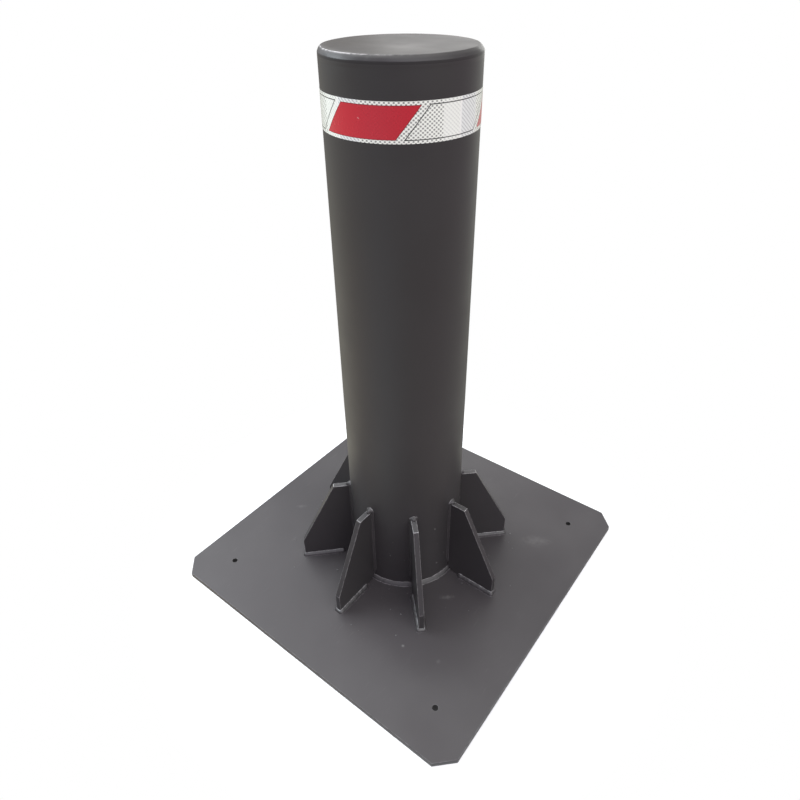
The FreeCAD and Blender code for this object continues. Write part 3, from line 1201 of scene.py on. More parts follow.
class WrapTree(ShapeTree):
    """Wraps a flat strip round the Z axis, its end lapped over its start.

    The flat strip runs along X, its width lies along Y and its thickness along Z.
    """

    TITLE = "wrapped strip"
    RADIUS = "Radius"
    START = "Start Angle"
    TURN = "Turn Length"
    LIFT = "Lap Lift"
    RISE = "Lap Rise"
    NUMBERS = dict.fromkeys((RADIUS, START, TURN, LIFT, RISE), "Float")

    def _shape(self, graph: Graph, given: Outputs) -> Socket:
        """Add the nodes that bend the strip round the axis.

        Args:
            graph: The tree's graph.
            given: The tree's inputs.

        Returns:
            The wrapped strip.
        """
        run, height, depth = graph.split(graph.node("GeometryNodeInputPosition").outputs[0])
        share = graph.math("DIVIDE", run, given[self.TURN])
        angle = graph.math("MULTIPLY_ADD", share, 2 * math.pi, given[self.START])
        over = graph.math("ADD", graph.math("SUBTRACT", run, given[self.TURN]), given[self.RISE])
        climbed = graph.math("MAXIMUM", graph.math("DIVIDE", over, given[self.RISE]), 0.0)
        climbed = graph.math("MINIMUM", climbed, 1.0)
        radius = graph.math("MULTIPLY_ADD", climbed, given[self.LIFT], depth)
        radius = graph.math("ADD", radius, given[self.RADIUS])
        x = graph.math("MULTIPLY", radius, graph.math("COSINE", angle))
        y = graph.math("MULTIPLY", radius, graph.math("SINE", angle))
        inputs = {"Geometry": given["Geometry"], "Position": graph.combine(x, y, height)}
        return graph.node("GeometryNodeSetPosition", inputs).outputs[0]


@dataclass
class TapeBand:
    """One strip of film wrapped round the tube, its end lapped over its start at the back."""

    sizes: Sizes
    thickness: float = 0.35 * MM
    lap: float = 12 * MM
    lap_angle: float = 37.6
    lap_gap: float = 1.05
    rise: float = 3 * MM
    steps: int = 720

    @property
    def radius(self) -> float:
        """Radius of the film's printed face, where one layer lies."""
        return self.sizes.tube_radius + self.thickness

    @property
    def length(self) -> float:
        """Length of the strip."""
        return 2 * math.pi * self.radius + self.lap

    @property
    def start(self) -> float:
        """Where the strip starts, as a length round the tube from the -X side."""
        return math.radians(self.lap_angle - 180.0) * self.radius

    def build(self) -> None:
        """Build the strip, wrap it round the tube and dress it."""
        width = self.sizes.tape_high - self.sizes.tape_low
        film = TapePrint("reflective film", self.start, self.length, width).material()
        strip = self._flat_strip()
        tree = WrapTree()
        values = {
            tree.RADIUS: self.sizes.tube_radius,
            tree.START: math.radians(self.lap_angle),
            tree.TURN: 2 * math.pi * self.radius,
            tree.LIFT: self.thickness * self.lap_gap,
            tree.RISE: self.rise,
            tree.MATERIAL: film,
        }
        tree.run(strip, values)
        Shop.settle(strip)
        Shop.deliver(strip, film, Slot.FILM, "reflective_tape")

    def _flat_strip(self) -> bpy.types.Object:
        """Build the strip flat, as a closed thin solid with a UV map along it.

        Returns:
            The strip, along X from the origin.
        """
        vertices = [
            (run, height, depth)
            for run in np.linspace(0.0, self.length, self.steps + 1)
            for depth in (0.0, self.thickness)
            for height in (self.sizes.tape_low, self.sizes.tape_high)
        ]
        faces = []
        ring = (0, 1, 3, 2)
        for step in range(self.steps):
            base = 4 * step
            for first, second in zip(ring, ring[1:] + ring[:1]):
                faces.append([base + first, base + second, base + 4 + second, base + 4 + first])
        faces += [[0, 1, 3, 2], [4 * self.steps + corner for corner in (0, 2, 3, 1)]]
        strip = Shop.piece("tape_film", vertices, faces)
        layer = strip.data.uv_layers.new(name="UVMap")
        for loop in strip.data.loops:
            step, corner = divmod(loop.vertex_index, 4)
            layer.data[loop.index].uv = (step / self.steps, float(corner % 2))
        return strip


# ---------------------------------------------------------------------------- gussets


class RingTree(ShapeTree):
    """Repeats one rib evenly round the Z axis."""

    TITLE = "ring of ribs"
    COUNT = "Count"
    NUMBERS = {COUNT: "Int"}

    def _shape(self, graph: Graph, given: Outputs) -> Socket:
        """Add the nodes that turn and repeat the rib.

        Args:
            graph: The tree's graph.
            given: The tree's inputs.

        Returns:
            The ring of ribs.
        """
        points = graph.node("GeometryNodePoints", {"Count": given[self.COUNT]}).outputs[0]
        number = graph.node("GeometryNodeInputIndex").outputs[0]
        turn = graph.math("MULTIPLY", graph.math("DIVIDE", number, given[self.COUNT]), 2 * math.pi)
        rotation = graph.combine(0.0, 0.0, turn)
        inputs = {"Points": points, "Instance": given["Geometry"], "Rotation": rotation}
        return graph.node("GeometryNodeInstanceOnPoints", inputs).outputs[0]


@dataclass
class Gussets:
    """Flat five-sided ribs spaced evenly round the tube."""

    sizes: Sizes
    arris: float = 0.7 * MM

    def profile(self) -> Outline:
        """Return the rib's outline as (distance from the tube's axis, height).

        Returns:
            The outline's points, anticlockwise.
        """
        sizes = self.sizes
        radius, floor = sizes.tube_radius, sizes.plate_top
        return [
            (radius, floor + sizes.snipe),
            (radius + sizes.snipe, floor),
            (radius + sizes.gusset_reach, floor),
            (radius + sizes.gusset_reach, floor + sizes.gusset_toe),
            (radius + sizes.gusset_ledge, sizes.gusset_top),
            (radius, sizes.gusset_top),
        ]

    def build(self, paint: bpy.types.Material) -> None:
        """Build one rib, repeat it round the tube and dress the ring.

        Args:
            paint: The ribs' material.
        """
        sizes, half = self.sizes, self.sizes.gusset_thick / 2
        slab = Shop.extruded("gusset", self.profile(), -half, half)
        Shop.soften(slab, self.arris)
        upright = Matrix.Rotation(math.radians(90), 4, "X")
        bmesh.ops.transform(slab, matrix=upright, verts=slab.verts)
        ribs = Shop.solid("gussets_painted", slab)
        tree = RingTree()
        tree.run(ribs, {tree.COUNT: sizes.gusset_count, tree.MATERIAL: paint})
        Shop.flatten(ribs)
        names = [f"gusset_{index + 1}" for index in range(sizes.gusset_count)]
        Shop.deliver(ribs, paint, Slot.STEEL, *names)


# ---------------------------------------------------------------------------- weld beads


class BeadTree(ShapeTree):
    """Lays a rippled fillet weld along a path drawn beside a joint."""

    TITLE = "weld bead"
    LEG = "Leg"
    SETBACK = "Setback"
    PITCH = "Ripple Pitch"
    HEIGHT = "Ripple Height"
    BULGE = "Bulge"
    LUMPS = "Lumps"
    STEP = "Step"
    SEED = "Seed"
    NUMBERS = dict.fromkeys((LEG, SETBACK, PITCH, HEIGHT, BULGE, LUMPS, STEP, SEED), "Float")
    profile_points = 13
    sway = 0.08
    sunk = -0.03
    lag = 0.9
    unevenness = 1.6
    toe_start = 0.7

    def _shape(self, graph: Graph, given: Outputs) -> Socket:
        """Add the nodes that sweep the bead, ripple it and mark its toes for a painted highlight.

        Args:
            graph: The tree's graph.
            given: The tree's inputs.

        Returns:
            The bead.
        """
        path = graph.node("GeometryNodeMeshToCurve", {0: given["Geometry"]}).outputs[0]
        even = graph.node(
            "GeometryNodeResampleCurve", {"Curve": path, "Length": given[self.STEP]}, mode="LENGTH"
        ).outputs[0]
        tangent = graph.node("GeometryNodeInputTangent").outputs[0]
        spot = graph.node("GeometryNodeInputPosition").outputs[0]
        outwards = graph.vector("CROSS_PRODUCT", tangent, (0.0, 0.0, 1.0))
        run = graph.node("GeometryNodeSplineParameter").outputs["Length"]
        line = self._capture(graph, even, Spot=spot, Out=outwards, Run=run)

        ring = graph.node("GeometryNodeCurvePrimitiveCircle", {"Resolution": self.profile_points})
        number = graph.node("GeometryNodeInputIndex").outputs[0]
        last = self.profile_points - 1
        share = graph.math("DIVIDE", number, float(last - 1))
        root = graph.math("COMPARE", number, float(last), 0.1)
        profile = self._capture(graph, ring.outputs[0], Share=share, Root=root)

        inputs = {"Curve": line[0], "Profile Curve": profile[0], "Fill Caps": True}
        swept = graph.node("GeometryNodeCurveToMesh", inputs).outputs[0]
        inputs = {"Geometry": swept, "Position": self._place(graph, given, line, profile)}
        shaped = graph.node("GeometryNodeSetPosition", inputs).outputs[0]

        # The toes are stored as arrises, which the paint lightens as a painted highlight.
        off_middle = graph.math("MULTIPLY_ADD", profile["Share"], 2.0, -1.0)
        toe = graph.band(graph.math("ABSOLUTE", off_middle), self.toe_start, 1.0)
        toe = graph.math("MULTIPLY", toe, graph.math("SUBTRACT", 1.0, profile["Root"]))
        inputs = {"Geometry": shaped, "Name": ARRIS, "Value": toe}
        return graph.node("GeometryNodeStoreNamedAttribute", inputs, data_type="FLOAT").outputs[0]

    def _capture(self, graph: Graph, curve: Socket, **fields: Socket) -> Outputs:
        """Keep fields on a curve's points, for use once the curve is swept.

        Args:
            graph: The tree's graph.
            curve: The curve.
            **fields: The fields, by the names that they get.

        Returns:
            The curve, and the kept fields by name.
        """
        kept = graph.node("GeometryNodeCaptureAttribute", {0: curve}, domain="POINT")
        for name, field in fields.items():
            kept.capture_items.new("VECTOR" if field.type == "VECTOR" else "FLOAT", name)
            graph.feed(kept.inputs[name], field)
        return kept.outputs

    def _place(self, graph: Graph, given: Outputs, line: Outputs, profile: Outputs) -> Socket:
        """Work out where each point of the swept bead goes.

        Args:
            graph: The tree's graph.
            given: The tree's inputs.
            line: Fields kept on the path.
            profile: Fields kept on the profile.

        Returns:
            The point's place.
        """
        share, root = profile["Share"], profile["Root"]
        named = graph.node("GeometryNodeInputNamedAttribute", {"Name": GIRTH}, data_type="FLOAT")
        girth = named.outputs[0]
        sway = graph.noise(line["Spot"], scale=95.0, detail=2.0, seed=given[self.SEED])
        sway = graph.band(sway, 0.25, 0.75, 1 - self.sway, 1 + self.sway)
        reach = graph.math("MULTIPLY", given[self.LEG], graph.math("MULTIPLY", girth, sway))

        hump = graph.math("SINE", graph.math("MULTIPLY", share, math.pi))
        swell = graph.math("MULTIPLY", hump, given[self.BULGE])
        across = graph.math("ADD", graph.math("SUBTRACT", 1.0, share), swell)
        across = self._kept(graph, across, root)
        rise = self._kept(graph, graph.math("ADD", share, swell), root)

        around = graph.math("MULTIPLY", share, reach)
        lump = self._lump(graph, given, line, girth, around)
        ripple = graph.math("MULTIPLY", self._ripple(graph, given, line, share), girth)
        lift = graph.math("MULTIPLY", graph.math("ADD", ripple, lump), hump)
        lift = graph.math("MULTIPLY", lift, graph.math("SUBTRACT", 1.0, root))
        half_way = graph.math("MULTIPLY", lift, math.sqrt(0.5))

        out_length = graph.math("MULTIPLY_ADD", across, reach, half_way)
        out_length = graph.math("SUBTRACT", out_length, given[self.SETBACK])
        up_length = graph.math("MULTIPLY_ADD", rise, reach, half_way)
        moved = graph.vector("ADD", line["Spot"], graph.scale(line["Out"], out_length))
        return graph.vector("ADD", moved, graph.combine(0.0, 0.0, up_length))

    def _kept(self, graph: Graph, length: Socket, root: Socket) -> Socket:
        """Keep a length of the section above the joint's faces, and put the root just below them.

        Args:
            graph: The tree's graph.
            length: The length, as a share of the leg.
            root: 1 at the root of the joint and 0 on the bead's face.

        Returns:
            The kept length.
        """
        face = graph.math("SUBTRACT", 1.0, root)
        below = graph.math("MULTIPLY", root, self.sunk)
        return graph.math("MULTIPLY_ADD", graph.math("MAXIMUM", length, self.sunk), face, below)

    def _ripple(self, graph: Graph, given: Outputs, line: Outputs, share: Socket) -> Socket:
        """Raise the curved ripples that a weld pool leaves behind it.

        Args:
            graph: The tree's graph.
            given: The tree's inputs.
            line: Fields kept on the path.
            share: Place across the bead's face, from 0 to 1.

        Returns:
            The ripples' height.
        """
        off_middle = graph.math("MULTIPLY_ADD", share, 2.0, -1.0)
        trailing = graph.math("POWER", graph.math("ABSOLUTE", off_middle), 2.0)
        seed = graph.math("ADD", given[self.SEED], 7.0)
        jitter = graph.noise(line["Spot"], scale=260.0, detail=1.0, seed=seed)
        beat = graph.math("DIVIDE", line["Run"], given[self.PITCH])
        beat = graph.math("SUBTRACT", beat, graph.math("MULTIPLY", trailing, self.lag))
        beat = graph.math("MULTIPLY_ADD", jitter, self.unevenness, beat)
        within = graph.math("MULTIPLY_ADD", graph.math("FRACT", beat), 2.0, -1.0)
        crest = graph.math("SUBTRACT", 1.0, graph.math("POWER", within, 2.0))
        return graph.math("MULTIPLY", crest, given[self.HEIGHT])

    def _lump(
        self, graph: Graph, given: Outputs, line: Outputs, girth: Socket, around: Socket
    ) -> Socket:
        """Raise uneven lumps where the bead is fatter than its leg.

        Args:
            graph: The tree's graph.
            given: The tree's inputs.
            line: Fields kept on the path.
            girth: The bead's relative size.
            around: Length across the bead's face.

        Returns:
            The lumps' height.
        """
        spread = graph.combine(line["Run"], around, 0.0)
        uneven = graph.noise(spread, scale=330.0, detail=2.0, seed=given[self.SEED])
        uneven = graph.math("SUBTRACT", uneven, 0.5)
        fat = graph.math("MAXIMUM", graph.math("SUBTRACT", girth, 1.0), 0.0)
        return graph.math("MULTIPLY", graph.math("MULTIPLY", uneven, fat), given[self.LUMPS])


@dataclass
class Bead:
    """One weld bead: its path in the plane of one member, and the sizes of its section."""

    name: str
    leg: float
    seed: float
    pitch: float = 2.3 * MM
    ripple: float = 0.3 * MM
    bulge: float = 0.12
    lumps: float = 1.3 * MM
    step: float = 0.6 * MM
    closed: bool = False

    @property
    def setback(self) -> float:
        """Distance from the joint to the path."""
        return self.leg / 2

    def lay(
        self, tree: BeadTree, path: np.ndarray, girths: np.ndarray, material: bpy.types.Material
    ) -> bpy.types.Object:
        """Lay the bead along a path.

        Args:
            tree: The geometry tree to use.
            path: Points in the XY plane, with the joint on their left.
            girths: The bead's relative size at each point.
            material: The bead's material.

        Returns:
            A plain mesh object, in the path's own plane.
        """
        count = len(path)
        mesh = bpy.data.meshes.new(self.name)
        links = [(index, index + 1) for index in range(count - 1)]
        if self.closed:
            links.append((count - 1, 0))
        mesh.from_pydata([(x, y, 0.0) for x, y in path], links, [])
        layer = mesh.attributes.new(GIRTH, "FLOAT", "POINT")
        layer.data.foreach_set("value", girths.astype(np.float32))
        made = Shop.linked(self.name, mesh)
        values = {
            tree.LEG: self.leg,
            tree.SETBACK: self.setback,
            tree.PITCH: self.pitch,
            tree.HEIGHT: self.ripple,
            tree.BULGE: self.bulge,
            tree.LUMPS: self.lumps,
            tree.STEP: self.step,
            tree.SEED: self.seed,
            tree.MATERIAL: material,
        }
        tree.run(made, values)
        return made


@dataclass
class WeldShop:
    """Lays every bead that joins the gussets, the tube and the plate."""

    sizes: Sizes
    pool: float = 1.3
    foot_stop: float = 9 * MM
    side_stop: float = 3 * MM
    taper: float = 5 * MM
    blunt: float = 0.3
    toe_reach: float = 9 * MM
    side_girth: float = 0.64
    ring_girth: float = 0.98
    ring_pinch: float = 0.12
    sharp_angle: float = 75.0
    seed: int = 41

    def build(self, paint: bpy.types.Material, side_paint: bpy.types.Material) -> None:
        """Lay and dress all the beads.

        Args:
            paint: Material of the foot beads.
            side_paint: Material of the side beads and the ring.
        """
        tree = BeadTree()
        rng = np.random.default_rng(self.seed)
        self._ring(tree, side_paint)
        for index in range(self.sizes.gusset_count):
            turn = Matrix.Rotation(2 * math.pi * index / self.sizes.gusset_count, 4, "Z")
            self._foot(tree, paint, index + 1, turn, rng)
            self._side(tree, side_paint, index + 1, turn, rng)

    def _hairpin(
        self, half: float, starts: tuple[float, float], end: float, offset: float
    ) -> np.ndarray:
        """Draw the path round three sides of a rib: out along one side, round the end and back.

        Args:
            half: Half the rib's thickness.
            starts: Where the path begins and stops along the rib's two sides.
            end: Where the rib ends.
            offset: Distance from the rib's faces to the path.

        Returns:
            The path's points.
        """
        ease = 0.5 * MM
        turn = offset + ease
        low = arc((end - ease, -half + ease), turn, -90.0, 0.0, 14)
        high = arc((end - ease, half - ease), turn, 0.0, 90.0, 14)
        return np.array([(starts[0], -half - offset), *low, *high, (starts[1], half + offset)])

    def _spread(
        self, path: np.ndarray, step: float, closed: bool = False
    ) -> tuple[np.ndarray, np.ndarray]:
        """Space points evenly along a path.

        Args:
            path: The path's corners.
            step: Distance between the new points.
            closed: Whether the path returns to its start.

        Returns:
            The points, and the length travelled at each of them.
        """
        corners = np.vstack([path, path[:1]]) if closed else path
        lengths = np.linalg.norm(np.diff(corners, axis=0), axis=1)
        runs = np.concatenate([[0.0], np.cumsum(lengths)])
        count = int(runs[-1] / step)
        marks = np.linspace(0.0, runs[-1], count + 1)[: count if closed else count + 1]
        points = np.stack([np.interp(marks, runs, corners[:, axis]) for axis in (0, 1)], axis=1)
        return points, marks

    def _ends(self, marks: np.ndarray, swell: float) -> np.ndarray:
        """Round a bead off at its start and stop, and swell it just after them.

        Args:
            marks: Length travelled at each point of the path.
            swell: How much fatter the bead is where it swells.

        Returns:
            The bead's relative size at each point.
        """
        from_end = np.minimum(marks, marks[-1] - marks)
        share = np.clip(from_end / self.taper, 0.0, 1.0)
        rounded = self.blunt + (1 - self.blunt) * np.sqrt(1 - (1 - share) ** 2)
        return rounded * (1 + swell * np.exp(-(((from_end - self.taper) / self.taper) ** 2)))

    def _ring(self, tree: BeadTree, paint: bpy.types.Material) -> None:
        """Lay the weld round the tube's foot, thinner where it passes under the gussets.

        Args:
            tree: The geometry tree to use.
            paint: The bead's material.
        """
        sizes = self.sizes
        smooth = {"ripple": 0.15 * MM, "bulge": 0.05, "lumps": 0.0}
        bead = Bead("ring_bead", sizes.ring_leg, 3.0, closed=True, **smooth)
        circle = arc((0.0, 0.0), sizes.tube_radius + bead.setback, 0.0, 360.0, 720)
        points, marks = self._spread(np.array(circle[:-1]), 1.5 * MM, closed=True)
        turns = marks / marks[-1] * sizes.gusset_count
        off_gusset = np.abs(turns - np.round(turns)) / sizes.gusset_count
        beside = off_gusset * 2 * math.pi * sizes.tube_radius
        girths = self.ring_girth - self.ring_pinch * np.exp(-((beside / self.toe_reach) ** 2))
        piece = bead.lay(tree, points, girths, paint)
        piece.data.transform(Matrix.Translation((0.0, 0.0, sizes.plate_top)))
        Shop.settle(piece, self.sharp_angle)
        Shop.deliver(piece, paint, Slot.WELD, "tube_foot_weld")

    def _foot(
        self,
        tree: BeadTree,
        paint: bpy.types.Material,
        number: int,
        turn: Matrix,
        rng: np.random.Generator,
    ) -> None:
        """Lay the weld round one gusset's foot, thinnest round its toe.

        Args:
            tree: The geometry tree to use.
            paint: The bead's material.
            number: The gusset's number.
            turn: The gusset's turn round the tube.
            rng: Source of the bead's unevenness.
        """
        sizes = self.sizes
        bead = Bead(f"gusset_{number}_foot_bead", sizes.foot_leg, float(rng.uniform(10, 99)))
        inner = sizes.tube_radius + sizes.snipe + self.foot_stop
        starts = tuple(inner + float(rng.uniform(-3, 5)) * MM for _ in range(2))
        end = sizes.tube_radius + sizes.gusset_reach
        path = self._hairpin(sizes.gusset_thick / 2, starts, end, bead.setback)
        points, marks = self._spread(path, 1.0 * MM)
        toe = np.exp(-(((marks - marks[-1] / 2) / self.toe_reach) ** 2))
        girths = self._ends(marks, 0.08) * (1 - float(rng.uniform(0.3, 0.42)) * toe)
        piece = bead.lay(tree, points, girths, paint)
        piece.data.transform(turn @ Matrix.Translation((0.0, 0.0, sizes.plate_top)))
        Shop.settle(piece, self.sharp_angle)
        Shop.deliver(piece, paint, Slot.WELD, f"gusset_foot_weld_{number}")

    def _side(
        self,
        tree: BeadTree,
        paint: bpy.types.Material,
        number: int,
        turn: Matrix,
        rng: np.random.Generator,
    ) -> None:
        """Lay the weld up one side of a gusset's joint with the tube, over its top and down again.

        Args:
            tree: The geometry tree to use.
            paint: The bead's material.
            number: The gusset's number.
            turn: The gusset's turn round the tube.
            rng: Source of the bead's unevenness.
        """
        sizes = self.sizes
        bead = Bead(f"gusset_{number}_side_bead", sizes.side_leg, float(rng.uniform(10, 99)))
        lower = sizes.plate_top + sizes.snipe + self.side_stop
        starts = tuple(lower + float(rng.uniform(-1, 6)) * MM for _ in range(2))
        path = self._hairpin(sizes.gusset_thick / 2, starts, sizes.gusset_top, bead.setback)
        points, marks = self._spread(path, 0.7 * MM)
        middle = marks[-1] / 2 + float(rng.uniform(-1.5, 1.5)) * MM
        blob = np.exp(-(((marks - middle) / self.taper) ** 2))
        girths = self.side_girth + float(rng.uniform(0.75, 1.15)) * blob
        piece = bead.lay(tree, points, self._ends(marks, 0.05) * girths, paint)
        self._stand(piece.data)
        piece.data.transform(turn)
        Shop.settle(piece, self.sharp_angle)
        Shop.deliver(piece, paint, Slot.WELD, f"gusset_side_weld_{number}")

    def _stand(self, mesh: bpy.types.Mesh) -> None:
        """Stand a bead laid flat up against the tube, and let its pool run out over the gusset's top.

        Along becomes up, and the bead's height becomes distance out from the tube.

        Args:
            mesh: The bead's mesh.
        """
        flat = np.empty(len(mesh.vertices) * 3, np.float32)
        mesh.vertices.foreach_get("co", flat)
        along, across, height = flat.reshape(-1, 3).T
        over = np.clip((along - self.sizes.gusset_top) / (1.5 * MM), 0.0, 1.0)
        middle = np.exp(-((across / (self.sizes.gusset_thick / 2)) ** 4))
        height = height * (1.0 + (self.pool - 1.0) * over * middle)
        surface = np.sqrt(self.sizes.tube_radius**2 - across**2)
        stood = np.stack([surface + height, -across, along], axis=1)
        mesh.vertices.foreach_set("co", stood.astype(np.float32).ravel())
        mesh.update()


# ---------------------------------------------------------------------------- spatter


class SpatterTree(ShapeTree):
    """Scatters small flattened droplets over a surface."""

    TITLE = "weld spatter"
    DENSITY = "Density"
    SMALLEST = "Smallest"
    LARGEST = "Largest"
    SEED = "Seed"
    NUMBERS = {**dict.fromkeys((DENSITY, SMALLEST, LARGEST), "Float"), SEED: "Int"}
    rarity = 2.5
    flatness = 0.6

    def _shape(self, graph: Graph, given: Outputs) -> Socket:
        """Add the nodes that scatter the droplets, most of them small.

        Args:
            graph: The tree's graph.
            given: The tree's inputs.

        Returns:
            The droplets.
        """
        scattered = graph.node(
            "GeometryNodeDistributePointsOnFaces",
            {"Mesh": given["Geometry"], "Density": given[self.DENSITY], "Seed": given[self.SEED]},
            distribute_method="RANDOM",
        ).outputs
        drop = graph.node("GeometryNodeMeshIcoSphere", {"Radius": 1.0, "Subdivisions": 2}).outputs[0]
        chance = graph.node("FunctionNodeRandomValue", {"Seed": given[self.SEED]}, data_type="FLOAT")
        share = graph.math("POWER", chance.outputs[1], self.rarity)
        spread = graph.math("SUBTRACT", given[self.LARGEST], given[self.SMALLEST])
        size = graph.math("MULTIPLY_ADD", share, spread, given[self.SMALLEST])
        flattened = graph.combine(size, size, graph.math("MULTIPLY", size, self.flatness))
        inputs = {
            "Points": scattered["Points"],
            "Instance": drop,
            "Rotation": scattered["Rotation"],
            "Scale": flattened,
        }
        return graph.node("GeometryNodeInstanceOnPoints", inputs).outputs[0]


@dataclass
class Spatter:
    """Droplets thrown by the welding on to the plate and the tube's foot."""

    sizes: Sizes
    reach: float = 135 * MM
    climb: float = 12 * MM
    clear: float = 1.3
    density: float = 620.0
    smallest: float = 0.35 * MM
    largest: float = 1.8 * MM
    steps: int = 96
    seed: int = 7

    def build(self, paint: bpy.types.Material) -> None:
        """Scatter and dress the droplets.

        Args:
            paint: The droplets' material.
        """
        piece = self._ground()
        tree = SpatterTree()
        values = {
            tree.DENSITY: self.density,
            tree.SMALLEST: self.smallest,
            tree.LARGEST: self.largest,
            tree.SEED: self.seed,
            tree.MATERIAL: paint,
        }
        tree.run(piece, values)
        piece.data.shade_smooth()
        Shop.deliver(piece, paint, Slot.WELD)

    def _ground(self) -> bpy.types.Object:
        """Draw the surface that the droplets land on: a ring of the plate and the foot of the tube.

        Returns:
            The surface, which the droplets take the place of.
        """
        sizes = self.sizes
        weld = sizes.ring_leg * self.clear
        outline = [
            (sizes.tube_radius + weld, sizes.plate_top),
            (sizes.tube_radius + self.reach, sizes.plate_top),
            (sizes.tube_radius, sizes.plate_top + weld),
            (sizes.tube_radius, sizes.gusset_top + self.climb),
        ]
        angles = np.linspace(0.0, 2 * math.pi, self.steps, endpoint=False)
        vertices = [(r * math.cos(a), r * math.sin(a), z) for r, z in outline for a in angles]
        faces = []
        for low, high in ((0, self.steps), (2 * self.steps, 3 * self.steps)):
            for step, after in Shop.rounds(self.steps):
                faces.append([low + step, high + step, high + after, low + after])
        return Shop.piece("weld_spatter", vertices, faces)


# ---------------------------------------------------------------------------- studio


@dataclass(frozen=True)
class Softbox:
    """One rectangular studio light."""

    name: str
    place: tuple[float, float, float]
    target: tuple[float, float, float]
    width: float
    height: float
    power: float
    tint: Colour = (1.0, 1.0, 1.0)

    def build(self) -> None:
        """Hang the light and aim it."""
        data = bpy.data.lights.new(self.name, "AREA")
        data.shape = "RECTANGLE"
        data.size, data.size_y = self.width, self.height
        data.energy = self.power
        data.color = self.tint
        lamp = bpy.data.objects.new(self.name, data)
        bpy.context.scene.collection.objects.link(lamp)
        aim = Vector(self.target) - Vector(self.place)
        lamp.location = self.place
        lamp.rotation_euler = aim.to_track_quat("-Z", "Y").to_euler()


@dataclass(frozen=True)
class Glow:
    """One wide soft glow of the surroundings, given by the direction it comes from in degrees."""

    azimuth: float
    elevation: float
    strength: float
    tint: Colour = (1.0, 1.0, 1.0)

    def light(self, graph: Graph, way: Socket, sharpness: float) -> Socket:
        """Return the glow's light along a direction.

        Args:
            graph: The world's node graph.
            way: The direction looked along.
            sharpness: Power of the falloff round the glow's middle.

        Returns:
            The glow's colour.
        """
        turn, rise = math.radians(self.azimuth), math.radians(self.elevation)
        level = math.cos(rise)
        middle = (level * math.cos(turn), level * math.sin(turn), math.sin(rise))
        facing = graph.node("ShaderNodeVectorMath", {0: way, 1: middle}, operation="DOT_PRODUCT")
        fall = graph.math("POWER", graph.math("MAXIMUM", facing.outputs["Value"], 0.0), sharpness)
        return graph.scale(tuple(self.strength * part for part in self.tint), fall)


